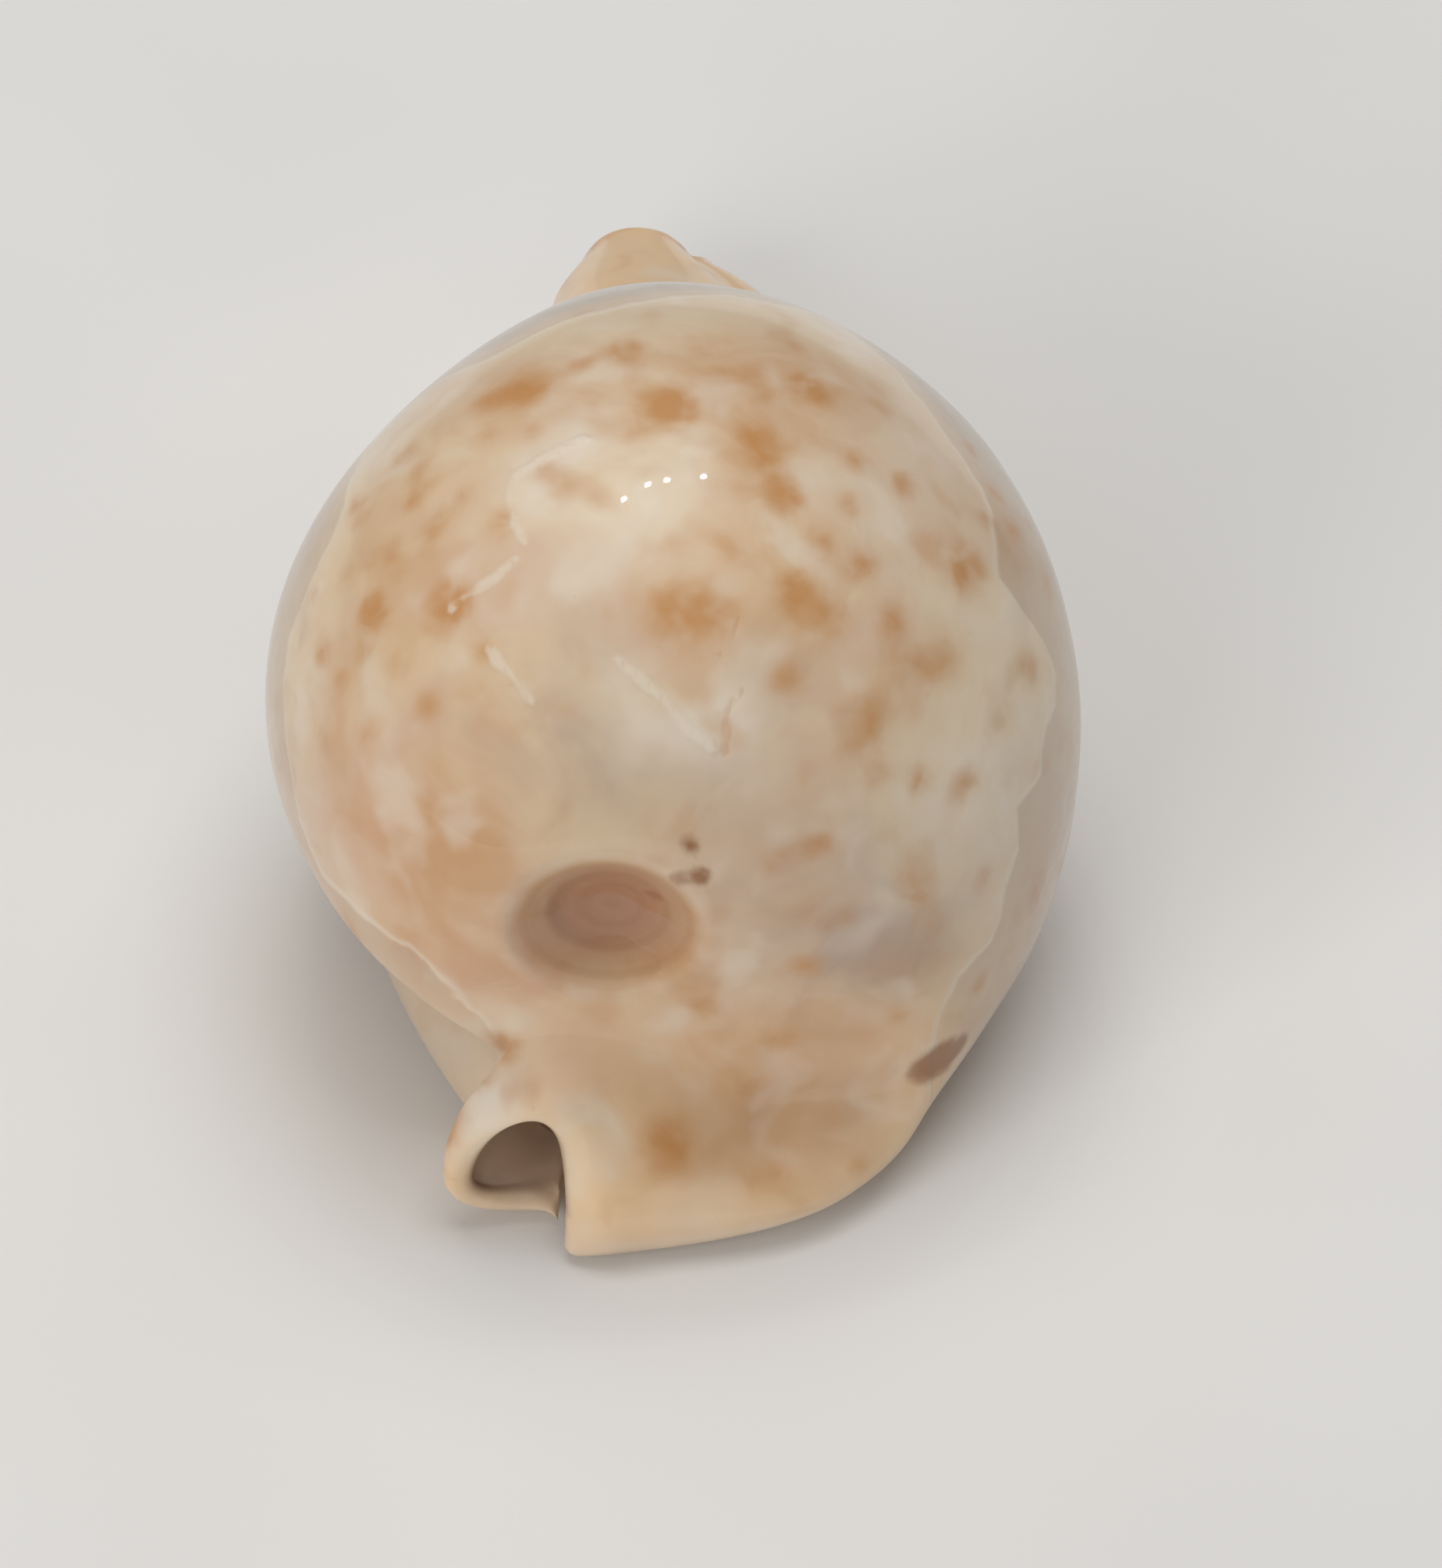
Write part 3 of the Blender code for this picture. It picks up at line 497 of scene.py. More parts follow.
def across_wall(edge, at):
    """The points of one side of the wall that stand across from the other side's."""
    before = np.clip(np.floor(at).astype(int), 0, len(edge) - 2)
    share = (at - before)[:, None]
    return edge[before] * (1 - share) + edge[before + 1] * share


for _ in range(ROLL_PASSES):
    outside = eased(form[:, :OUTER_COUNT], outer_roll)
    hollow = eased(form[:, OUTER_COUNT:][:, ::-1], inner_roll)
    outside[0] += ALONG_SHARE * (0.5 * (outside[1] + across_wall(hollow[1], partner)) - outside[0])
    meeting = across_wall(outside[0], partner_back)
    hollow[0] = meeting + RIM_SEAM * (hollow[1] - meeting)
    form[:, :OUTER_COUNT], form[:, OUTER_COUNT:] = outside, hollow[:, ::-1]

form[..., 2] = np.maximum(form[..., 2] - form[..., 2].min() - REST_DEPTH, 0.0)
low, high = form.min((0, 1)), form.max((0, 1))
form[..., :2] -= (low[:2] + high[:2]) / 2
form *= MM
ring_count, ring_size = form.shape[:2]
outward = np.cross(np.gradient(form, axis=0), np.roll(form, -1, axis=1) - np.roll(form, 1, axis=1))
outward /= np.maximum(np.linalg.norm(outward, axis=-1, keepdims=True), 1e-12)
crest_column = DOME_START + DOME_POINTS
outward *= np.sign(outward[ring_count // 2, crest_column, 2])

# The glaze over the back ends in an irregular edge above the margins. The places below follow that
# edge in pixels of the photograph: across the front of the back, then down each side to the spout.
EDGE_FRONT_PX = [
    (1140, 470), (1080, 420), (1040, 403), (890, 379), (700, 420), (640, 455), (560, 490), (476, 560),
]
EDGE_RIGHT_PX = [
    (1140, 470), (1200, 540), (1213, 560), (1233, 588), (1258, 622), (1272, 658), (1276, 695),
    (1283, 742), (1309, 785), (1337, 824), (1351, 858), (1351, 897), (1340, 939), (1335, 990),
    (1306, 1037), (1303, 1085), (1287, 1130), (1281, 1171), (1268, 1200), (1230, 1251), (1207, 1299),
    (1179, 1347), (1153, 1385),
]
EDGE_LEFT_PX = [
    (476, 560), (442, 644), (423, 692), (390, 756), (372, 813), (361, 883), (366, 939), (375, 1000),
    (386, 1045), (414, 1115), (442, 1145), (470, 1171), (504, 1204), (554, 1232), (582, 1258),
    (625, 1280),
]
MOST_MARGIN = 4.0
SPOUT_MARGIN = -2.0
SPOUT_EDGE_START, SPOUT_EDGE_FADE = 7.5, 3.0
LEAST_FACING = 0.02

pixels = in_photo(form)
facing = np.einsum("ijk,ijk->ij", outward, np.array(camera.location) - form)
facing /= np.linalg.norm(np.array(camera.location) - form, axis=-1)
seen = facing > LEAST_FACING
seen[:, OUTER_COUNT:] = False


def on_shell(px, py):
    """The ring and the place in it of the shell's point seen at a pixel of the photograph."""
    away = np.where(seen, np.hypot(pixels[..., 0] - px, pixels[..., 1] - py), np.inf)
    return np.unravel_index(np.argmin(away), away.shape)


def edge_column(places):
    """Where round the ring an edge lies, for every ring."""
    found = sorted({on_shell(*p)[0]: on_shell(*p)[1] for p in places}.items())
    return np.interp(np.arange(ring_count), [f[0] for f in found], [f[1] for f in found])


spacing = np.linalg.norm(form - np.roll(form, 1, axis=1), axis=-1) / MM
run_round = np.cumsum(spacing, axis=1)
ring_index = np.arange(ring_count)
front_edge = sorted(on_shell(*p)[::-1] for p in EDGE_FRONT_PX)
front_ring = np.interp(np.arange(ring_size), [f[0] for f in front_edge], [f[1] for f in front_edge])


def run_at(column):
    """How far round its ring, in millimetres, each ring's place lies."""
    low_column = np.clip(np.floor(column).astype(int), 0, ring_size - 2)
    share = column - low_column
    return run_round[ring_index, low_column] * (1 - share) + run_round[ring_index, low_column + 1] * share


past_right = run_at(edge_column(EDGE_RIGHT_PX))[:, None] - run_round
past_left = run_round - run_at(edge_column(EDGE_LEFT_PX))[:, None]
crest_y = design[:, crest_column, 1]
ahead = crest_y[:, None] - np.interp(front_ring, ring_index, crest_y)
margin = np.maximum(np.maximum(past_right, past_left), ahead)
past_spout = smooth_step((design[..., 1] - SPOUT_EDGE_START) / SPOUT_EDGE_FADE)
margin = np.clip(margin, -MOST_MARGIN, MOST_MARGIN) * past_spout + SPOUT_MARGIN * (1 - past_spout)

# Orange-brown clouds in the glaze. Each has its place in the photograph, a radius in millimetres and a
# strength, and so have the marks and washes after them.
CLOUD_FALL = 0.45
CLOUDS_PX = [
    (732, 430, 0.9, 0.6), (798, 450, 1.1, 0.6), (742, 466, 0.8, 0.5), (670, 499, 1.2, 0.95),
    (615, 516, 0.8, 0.5), (674, 554, 0.8, 0.5), (622, 561, 0.8, 0.5), (842, 521, 1.1, 0.8),
    (874, 522, 1.1, 0.8), (908, 411, 0.8, 0.5), (901, 450, 0.9, 0.5), (1021, 445, 0.6, 0.5),
    (1035, 499, 1.1, 0.9), (977, 507, 0.9, 0.5), (920, 478, 0.8, 0.45), (958, 478, 0.8, 0.45),
    (966, 563, 1.0, 0.75), (984, 592, 0.9, 0.7), (1003, 622, 0.9, 0.75), (1000, 645, 0.8, 0.6),
    (694, 599, 0.8, 0.5), (777, 640, 1.0, 0.3), (643, 674, 0.9, 0.6), (570, 777, 1.3, 0.95),
    (628, 832, 0.9, 0.5), (846, 779, 1.2, 0.5), (882, 781, 1.3, 0.55), (918, 785, 1.2, 0.5),
    (1056, 694, 0.9, 0.65), (1021, 744, 0.8, 0.55), (1021, 769, 0.8, 0.65), (1004, 868, 1.0, 0.5),
    (1097, 592, 0.8, 0.55), (1094, 643, 0.8, 0.55), (1159, 623, 0.9, 0.6), (1101, 728, 0.9, 0.6),
    (1233, 731, 1.5, 0.75), (1140, 782, 0.9, 0.6), (1065, 790, 1.4, 0.5), (1213, 835, 1.3, 0.45),
    (1157, 860, 1.5, 0.4), (1104, 928, 1.5, 0.55), (1320, 855, 1.0, 0.5), (1281, 930, 1.1, 0.4),
    (1182, 995, 0.8, 0.6), (1230, 1005, 0.9, 0.55), (1051, 1076, 0.9, 0.55), (1168, 1120, 0.8, 0.6),
    (1188, 1142, 0.8, 0.6), (1080, 1175, 1.1, 0.4), (1035, 1235, 0.9, 0.5), (1262, 1127, 1.0, 0.35),
    (1252, 1261, 0.8, 0.5), (1329, 1143, 0.8, 0.6), (1357, 1108, 0.8, 0.6), (1244, 577, 0.7, 0.6),
    (1275, 633, 0.7, 0.6), (1300, 681, 0.7, 0.6), (1320, 672, 0.6, 0.5), (1345, 754, 0.8, 0.6),
    (1267, 669, 0.6, 0.5), (540, 599, 0.8, 0.6), (459, 645, 0.7, 0.6), (462, 665, 0.7, 0.6),
    (535, 641, 0.7, 0.55), (557, 675, 0.7, 0.5), (500, 703, 0.8, 0.6), (479, 782, 1.0, 0.9),
    (414, 832, 0.8, 0.6), (437, 872, 0.8, 0.5), (512, 855, 0.8, 0.5), (546, 908, 0.9, 0.5),
    (470, 945, 0.8, 0.5), (417, 945, 0.8, 0.5), (468, 838, 0.7, 0.5), (442, 740, 0.8, 0.4),
    (1000, 1340, 1.2, 0.5), (950, 1385, 1.2, 0.45), (900, 1290, 1.0, 0.4), (885, 1230, 0.9, 0.5),
    (860, 1450, 1.4, 0.6), (850, 1480, 1.0, 0.5), (1004, 1506, 0.9, 0.5), (1099, 1497, 0.8, 0.4),
    (961, 1516, 0.8, 0.35), (994, 1105, 0.9, 0.4), (1032, 1172, 0.9, 0.35), (820, 560, 0.9, 0.3),
    (760, 500, 1.0, 0.3), (1060, 560, 0.9, 0.4), (1130, 520, 0.8, 0.4), (590, 640, 0.9, 0.4),
    (520, 580, 0.8, 0.5), (400, 760, 0.6, 0.5), (396, 900, 0.7, 0.4), (1180, 700, 0.9, 0.35),
    (1290, 1000, 0.9, 0.3), (1120, 1000, 0.9, 0.4), (940, 700, 1.0, 0.35), (720, 620, 0.9, 0.3),
    (1150, 1300, 0.8, 0.4),
]
BROWN_MARKS_PX = [
    (1179, 1372, 0.6, 0.7), (1190, 1365, 0.7, 0.8), (1202, 1357, 0.8, 0.9), (1214, 1349, 0.7, 0.8),
    (1228, 1340, 0.6, 0.7), (886, 1082, 0.45, 1.0), (901, 1123, 0.45, 1.0), (871, 1126, 0.4, 0.9),
    (836, 1147, 0.4, 0.9),
]
# Broader washes of colour under the clouds: warm tan, pinkish, grey-mauve and milky white, some of them
# partly painted light and shade, as said at each list.
# The strong patch at (960, 1390), in the hollow where the whorl meets the outer lip, is painted shade; the
# rest is the glaze's own warm tan.
WARM_AND_PAINTED_SHADE_PX = [
    (860, 470, 3.0, 0.45), (960, 470, 3.0, 0.55), (1060, 500, 3.0, 0.5), (980, 590, 2.6, 0.7),
    (990, 680, 2.4, 0.4), (680, 500, 3.0, 0.6), (520, 640, 3.0, 0.4), (490, 720, 3.0, 0.4),
    (560, 740, 2.4, 0.45), (450, 850, 3.0, 0.4), (430, 950, 3.0, 0.3), (880, 785, 2.4, 0.7),
    (1020, 790, 2.0, 0.5), (1170, 850, 2.6, 0.3), (1110, 920, 2.2, 0.3), (1020, 1060, 3.0, 0.3),
    (570, 1085, 3.2, 0.85), (530, 1180, 3.0, 0.5), (860, 1215, 1.5, 0.8), (900, 1290, 2.4, 0.7),
    (960, 1390, 2.6, 0.8), (850, 1460, 1.8, 0.6), (1180, 1370, 1.6, 0.5), (1010, 1440, 2.4, 0.35),
    (1100, 1320, 2.2, 0.3), (1180, 1240, 2.2, 0.25), (640, 840, 2.2, 0.4),
]
PINK_WASH_PX = [
    (520, 1130, 4.5, 0.6), (600, 1190, 4.0, 0.7), (700, 1290, 3.0, 0.6), (640, 1250, 3.0, 0.7),
    (560, 1010, 4.0, 0.4), (480, 1040, 4.0, 0.5), (860, 1330, 3.0, 0.5), (760, 1330, 2.6, 0.5),
]
# Partly painted shade: the row above the pit, the patches on the right of the face around the spire and those
# along the groove above the outer lip darken where the surface turns from the light; the others are the
# glaze's grey-mauve tone.
MAUVE_AND_PAINTED_SHADE_PX = [
    (700, 985, 2.6, 0.35), (780, 975, 2.6, 0.4), (860, 985, 2.6, 0.35), (950, 1000, 2.6, 0.3),
    (1080, 1190, 3.2, 0.8), (1150, 1130, 3.0, 0.6), (990, 1130, 2.6, 0.45), (740, 850, 3.2, 0.3),
    (1150, 1220, 2.8, 0.85), (1010, 1430, 3.0, 0.4), (1100, 1440, 2.6, 0.35), (1000, 860, 2.0, 0.4),
    (1060, 1300, 3.0, 0.3), (620, 930, 3.0, 0.3),
]
# The patches at (640, 1380), (600, 1440) and (560, 1340) are painted light that brightens the left wing and
# the spout's left flank where they lie in shade; the rest are the glaze's own milky patches.
MILKY_AND_PAINTED_LIGHT_PX = [
    (740, 560, 2.0, 0.8), (690, 640, 1.5, 0.7), (860, 620, 3.0, 0.45), (810, 690, 3.0, 0.4),
    (640, 780, 1.4, 0.7), (860, 890, 3.4, 0.55), (930, 930, 1.6, 0.6), (1200, 960, 4.5, 0.5),
    (1260, 800, 3.0, 0.45), (1150, 560, 3.0, 0.4), (1060, 610, 2.4, 0.5), (1290, 1030, 3.5, 0.5),
    (1180, 1080, 3.5, 0.4), (820, 430, 3.0, 0.35), (980, 1020, 2.2, 0.3), (640, 1380, 2.4, 0.8),
    (600, 1440, 2.0, 0.7), (560, 1340, 2.6, 0.65), (760, 1480, 1.6, 0.35), (900, 1540, 2.0, 0.3),
]


def clouds(places):
    """How strongly soft round clouds at these places colour each point."""
    total = np.zeros(form.shape[:2])
    for px, py, radius, strength in places:
        centre = form[on_shell(px, py)]
        away = np.linalg.norm(form - centre, axis=-1) / MM
        total = total + (1 - total) * strength * np.exp(-(away / radius) ** 2 * CLOUD_FALL)
    return total


# The back's far slope, the margins and the sides have clouds of the same sizes, strewn by chance.
CHANCE_SEED = 11
HIDDEN_CLOUDS = 150
HIDDEN_RADII = (0.6, 1.3)
HIDDEN_STRENGTHS = (0.35, 0.9)
HIDDEN_LEAST_HEIGHT = 4.0
POINTS_BELOW_FLANK = 6
chance = np.random.default_rng(CHANCE_SEED)
cloud_field = clouds(CLOUDS_PX)
hidden = (~seen) & (form[..., 2] > HIDDEN_LEAST_HEIGHT * MM)
hidden[:, :DOME_START - POINTS_BELOW_FLANK] = False
hidden[:, DOME_START + 2 * DOME_POINTS + POINTS_BELOW_FLANK:] = False
hidden_places = form[hidden]
for centre in hidden_places[chance.permutation(len(hidden_places))[:HIDDEN_CLOUDS]]:
    away = np.linalg.norm(form - centre, axis=-1) / MM
    radius, strength = chance.uniform(*HIDDEN_RADII), chance.uniform(*HIDDEN_STRENGTHS)
    cloud_field = np.maximum(cloud_field, strength * np.exp(-(away / radius) ** 2 * CLOUD_FALL))
cloud_field[:, OUTER_COUNT:] = 0

# Old breaks that the animal glazed over stand as pale raised seams, and two fine cracks cross the back.
SCARS_PX = [
    [(746, 558), (719, 576), (683, 596), (663, 606), (649, 638), (654, 663), (668, 691)],
    [(663, 719), (630, 741), (596, 760), (581, 779)],
    [(792, 845), (840, 885), (880, 925), (915, 961)],
    [(626, 832), (655, 862), (683, 895)],
]
CRACKS_PX = [
    [(945, 792), (938, 815), (926, 845)],
    [(951, 885), (938, 918), (928, 961)],
]
MOST_DISTANCE = 4.0


def distance_to(lines):
    """The distance in millimetres from each point to the nearest of some lines across the shell."""
    nearest = np.full(form.shape[:2], MOST_DISTANCE)
    for line in lines:
        path = [form[on_shell(*p)] for p in line]
        for a, b in zip(path[:-1], path[1:]):
            run = b - a
            t = np.clip((form - a) @ run / max(run @ run, 1e-12), 0, 1)
            nearest = np.minimum(nearest, np.linalg.norm(form - a - t[..., None] * run, axis=-1) / MM)
    return nearest


# Where each colour that goes with the form lies: the pit, the hollow, the beaks, the base, the front.
# Each pair says where a colour starts and over how many millimetres it comes in.
SPIRE_BEAK_Y = (15.0, 9.0)
SPIRE_BEAK_Z = (19.0, 8.0)
FRONT_BEAK_Y = (60.0, 12.0)
FRONT_Y = (22.0, 28.0)
BASE_Z = (5.0, 4.0)
BASE_ON_DOME = 0.4
FAR_FROM_SPIRE = 3.0
HOLLOW_BLUR_PASSES = 6


def above(values, pair):
    return smooth_step((values - pair[0]) / pair[1])


def below(values, pair):
    return smooth_step((pair[0] - values) / pair[1])


design_y, design_z = design[..., 1], design[..., 2]
spire_reach, _, spire_height = spire_place(design)
spire_reach = np.where(np.abs(spire_height) < SPIRE_NEAR, spire_reach, FAR_FROM_SPIRE)
spire_reach[:, OUTER_COUNT:] = FAR_FROM_SPIRE
inside = np.zeros(form.shape[:2])
inside[:, OUTER_COUNT + WALL_POINTS:-WALL_POINTS] = 1
inside[:RIM_RINGS + 1] = 0
inside[-RIM_RINGS - 1:] = 0
for _ in range(HOLLOW_BLUR_PASSES):
    inside[1:-1] = (inside[:-2] + 2 * inside[1:-1] + inside[2:]) / 4
    inside = (np.roll(inside, 1, axis=1) + 2 * inside + np.roll(inside, -1, axis=1)) / 4
spire_beak = below(design_y, SPIRE_BEAK_Y) * below(design_z, SPIRE_BEAK_Z)
beaks = np.maximum(spire_beak, above(design_y, FRONT_BEAK_Y))
under = below(design_z, BASE_Z)
under[:, DOME_START:DOME_START + 2 * DOME_POINTS] *= BASE_ON_DOME
near_front = above(design_y, FRONT_Y)

# The skin: four-sided faces between the rings, and a strip of triangles that closes each rim.
faces = []
for i in range(ring_count - 1):
    for j in range(ring_size):
        a = i * ring_size + j
        b = i * ring_size + (j + 1) % ring_size
        faces.append((a, b, b + ring_size, a + ring_size))


def closing_strip(start):
    """The thin strip of triangles that closes a rim between its outside and its hollow."""
    outside, hollow = 0, 0
    strip = []
    while outside < OUTER_COUNT - 1 or hollow < INNER_COUNT - 1:
        at, across = start + outside, start + ring_size - 1 - hollow
        if outside < OUTER_COUNT - 1 and (hollow == INNER_COUNT - 1 or partner[outside + 1] <= hollow + 0.5):
            strip.append((at, at + 1, across))
            outside += 1
        else:
            strip.append((at, across - 1, across))
            hollow += 1
    return strip


last = (ring_count - 1) * ring_size
shell_mesh = bpy.data.meshes.new("shell_skin")
shell_mesh.from_pydata(form.reshape(-1, 3).tolist(), [], [*faces, *closing_strip(0), *closing_strip(last)])
turned = bmesh.new()
turned.from_mesh(shell_mesh)
bmesh.ops.recalc_face_normals(turned, faces=turned.faces)
turned.to_mesh(shell_mesh)
turned.free()
shell_mesh.shade_smooth()

# The outside and the hollow share one shading direction where they meet at the rim, so no line shows.
turns = np.empty(form.size, dtype=np.float32)
shell_mesh.vertex_normals.foreach_get("vector", turns)
turns = turns.reshape(form.shape)
shared = turns[0, :OUTER_COUNT] + across_wall(turns[0, OUTER_COUNT:][::-1], partner)
shared /= np.maximum(np.linalg.norm(shared, axis=1, keepdims=True), 1e-9)
turns[0, :OUTER_COUNT] = shared
turns[0, OUTER_COUNT:] = across_wall(shared, partner_back)[::-1]
shell_mesh.normals_split_custom_set_from_vertices(turns.reshape(-1, 3))

skin_values = dict(
    cloud=cloud_field, mark=clouds(BROWN_MARKS_PX), warm_and_shade=clouds(WARM_AND_PAINTED_SHADE_PX), pink=clouds(PINK_WASH_PX),
    mauve_and_shade=clouds(MAUVE_AND_PAINTED_SHADE_PX), milky_and_light=clouds(MILKY_AND_PAINTED_LIGHT_PX), margin=margin, scar=distance_to(SCARS_PX),
    crack=distance_to(CRACKS_PX), spire=spire_reach, inside=inside, beaks=beaks, under=under,
    near_front=near_front,
)
for name, values in skin_values.items():
    layer = shell_mesh.attributes.new(name, "FLOAT", "POINT")
    layer.data.foreach_set("value", values.astype(np.float32).ravel())
shell = bpy.data.objects.new("cowrie_shell", shell_mesh)
bpy.context.scene.collection.objects.link(shell)

# The glaze: glassy and smooth over a cream body, with the colours lying in and under it.
CREAM = (228, 204, 168)
PINK_CREAM = (219, 190, 160)
PALE_FRONT = (228, 208, 174)
PINK_WASH = (216, 170, 134)
MAUVE_SHADE = (178, 150, 128)
MILKY_WHITE = (234, 221, 202)
WARM_TAN = (204, 156, 108)
CLOUD_ORANGE = (196, 136, 72)
MARK_BROWN = (146, 92, 40)
MARGIN_TAN = (186, 158, 132)
RIM_GREY = (160, 148, 134)
SPIRE_BROWN_AND_SHADE = (160, 102, 68)
SPIRE_OCHRE = (190, 140, 84)
BEAK_PEACH = (238, 200, 152)
HOLLOW_BROWN = (176, 146, 124)
UNDER_CREAM = (226, 206, 184)

LEAST_ROUGHNESS, MOST_ROUGHNESS = 0.28, 0.4
COAT_SHARE = 0.7
COAT_ROUGHNESS = 0.03
WHORL_WAVES = 24.0
WHORL_LINE_SHARE = 0.16

# Heights of the relief that is too fine for the mesh, in millimetres.
EDGE_STEP = 0.09
SEAM_HEIGHT = 0.1
RIPPLE_HEIGHT = 0.1
GRAIN_HEIGHT = 0.03
CRACK_DEPTH = 0.04
WHORL_RELIEF = 0.02
RELIEF_STRENGTH = 0.7

glaze = bpy.data.materials.new("glazed_shell")
glaze.use_nodes = True
tree = glaze.node_tree
surface = tree.nodes["Principled BSDF"]


def linear(colour):
    """A colour given in 0 to 255 as the eye sees it, in the shader's own scale."""
    return tuple(((c / 255 + 0.055) / 1.055) ** 2.4 for c in colour) + (1.0,)


def field(name):
    """One of the values kept at the skin's points."""
    node = tree.nodes.new("ShaderNodeAttribute")
    node.attribute_name = name
    return node.outputs["Fac"]


place = tree.nodes.new("ShaderNodeTexCoord").outputs["Object"]


def noise(scale, detail, distortion=0.0, roughness=0.5):
    """An even mottling from 0 to 1, finer as the scale goes up."""
    node = tree.nodes.new("ShaderNodeTexNoise")
    tree.links.new(place, node.inputs["Vector"])
    node.inputs["Scale"].default_value = scale
    node.inputs["Detail"].default_value = detail
    node.inputs["Distortion"].default_value = distortion
    node.inputs["Roughness"].default_value = roughness
    return node.outputs["Fac"]


def sum_of(kind, first, second):
    """Two values joined by one arithmetic step; either may be a plain number."""
    node = tree.nodes.new("ShaderNodeMath")
    node.operation = kind
    for socket, value in zip(node.inputs, (first, second)):
        if isinstance(value, (int, float)):
            socket.default_value = value
        else:
            tree.links.new(value, socket)
    return node.outputs[0]


def step_between(value, start, end, least=0.0, most=1.0):
    """A smooth step from least to most while the value goes from start to end."""
    node = tree.nodes.new("ShaderNodeMapRange")
    node.interpolation_type = "SMOOTHSTEP"
    tree.links.new(value, node.inputs["Value"])
    for name, number in zip(("From Min", "From Max", "To Min", "To Max"), (start, end, least, most)):
        node.inputs[name].default_value = number
    return node.outputs["Result"]


def blend(under_colour, over_colour, share):
    """One colour laid over another, as much as share says."""
    node = tree.nodes.new("ShaderNodeMix")
    node.data_type = "RGBA"
    tree.links.new(share, node.inputs["Factor"])
    for socket, colour in zip((node.inputs["A"], node.inputs["B"]), (under_colour, over_colour)):
        if isinstance(colour, tuple):
            socket.default_value = linear(colour)
        else:
            tree.links.new(colour, socket)
    return node.outputs["Result"]


# The ground: cream and pinkish cream, paler to the front, with washes laid over it in soft patches.
broad = noise(60, 3, 0.6)
medium = noise(170, 3, 0.8)
small = noise(420, 2, 0.4)
fine = noise(1500, 2)
wandering = step_between(medium, 0.3, 0.7, 0.5, 1.3)
colour = blend(CREAM, PINK_CREAM, step_between(broad, 0.4, 0.62))
front_share = sum_of("MULTIPLY", field("near_front"), step_between(medium, 0.3, 0.7, 0.3, 0.9))
colour = blend(colour, PALE_FRONT, front_share)
colour = blend(colour, MAUVE_SHADE, step_between(medium, 0.56, 0.8, 0.0, 0.35))
beak_share = sum_of("MULTIPLY", field("beaks"), step_between(medium, 0.3, 0.7, 0.55, 0.95))
colour = blend(colour, BEAK_PEACH, beak_share)
colour = blend(colour, PINK_WASH, sum_of("MULTIPLY", field("pink"), wandering))
# Painted shade in part: the mauve wash darkens the band above the pit, the right of the face around the spire
# and the groove above the outer lip.
colour = blend(colour, MAUVE_SHADE, sum_of("MULTIPLY", field("mauve_and_shade"), wandering))
# Painted light in part: the milky wash brightens the left wing and the spout's left flank where they lie in
# shade.
colour = blend(colour, MILKY_WHITE, sum_of("MULTIPLY", field("milky_and_light"), wandering))
# Painted shade in part: the warm wash darkens the hollow where the whorl meets the outer lip.
colour = blend(colour, WARM_TAN, sum_of("MULTIPLY", field("warm_and_shade"), wandering))
mottle = noise(230, 2, 0.25, 0.45)
colour = blend(colour, MILKY_WHITE, step_between(mottle, 0.5, 0.75, 0.0, 0.45))
colour = blend(colour, WARM_TAN, step_between(mottle, 0.48, 0.26, 0.0, 0.45))

# The top layer's ragged edge, with a milky line along it, and the duller tan margins outside it.
ragged = sum_of("ADD", field("margin"), step_between(medium, 0.2, 0.8, -0.5, 0.5))
outside_edge = step_between(ragged, -0.05, 0.45)
tan_share = sum_of("MULTIPLY", outside_edge, step_between(field("beaks"), 0.8, 0.0, 0.1, 0.5))
colour = blend(colour, MARGIN_TAN, tan_share)
rim_band = sum_of("MULTIPLY", step_between(field("margin"), 0.6, 3.0, 0.0, 0.7), field("near_front"))
colour = blend(colour, RIM_GREY, sum_of("MULTIPLY", rim_band, step_between(field("beaks"), 0.5, 0.0)))
edge_line = sum_of("MULTIPLY", step_between(ragged, -0.55, -0.05), step_between(ragged, 0.25, -0.05))
colour = blend(colour, MILKY_WHITE, sum_of("MULTIPLY", edge_line, 0.45))

# The clouds and brown marks, the pit of the spire with its whorls, the base, the seams and the hollow.
ragged_cloud = sum_of("MULTIPLY", field("cloud"), step_between(small, 0.25, 0.75, 0.6, 1.25))
colour = blend(colour, CLOUD_ORANGE, step_between(ragged_cloud, 0.06, 0.85, 0.0, 0.85))
ragged_mark = sum_of("MULTIPLY", field("mark"), step_between(small, 0.25, 0.75, 0.5, 1.2))
colour = blend(colour, MARK_BROWN, step_between(ragged_mark, 0.12, 0.65, 0.0, 0.9))
ring_outside = step_between(field("spire"), 1.22, 1.08)
pale_ring = sum_of("MULTIPLY", ring_outside, step_between(field("spire"), 0.9, 1.02))
colour = blend(colour, SPIRE_OCHRE, step_between(field("spire"), 1.3, 0.8, 0.0, 0.3))
colour = blend(colour, MILKY_WHITE, sum_of("MULTIPLY", pale_ring, step_between(small, 0.3, 0.7, 0.05, 0.25)))
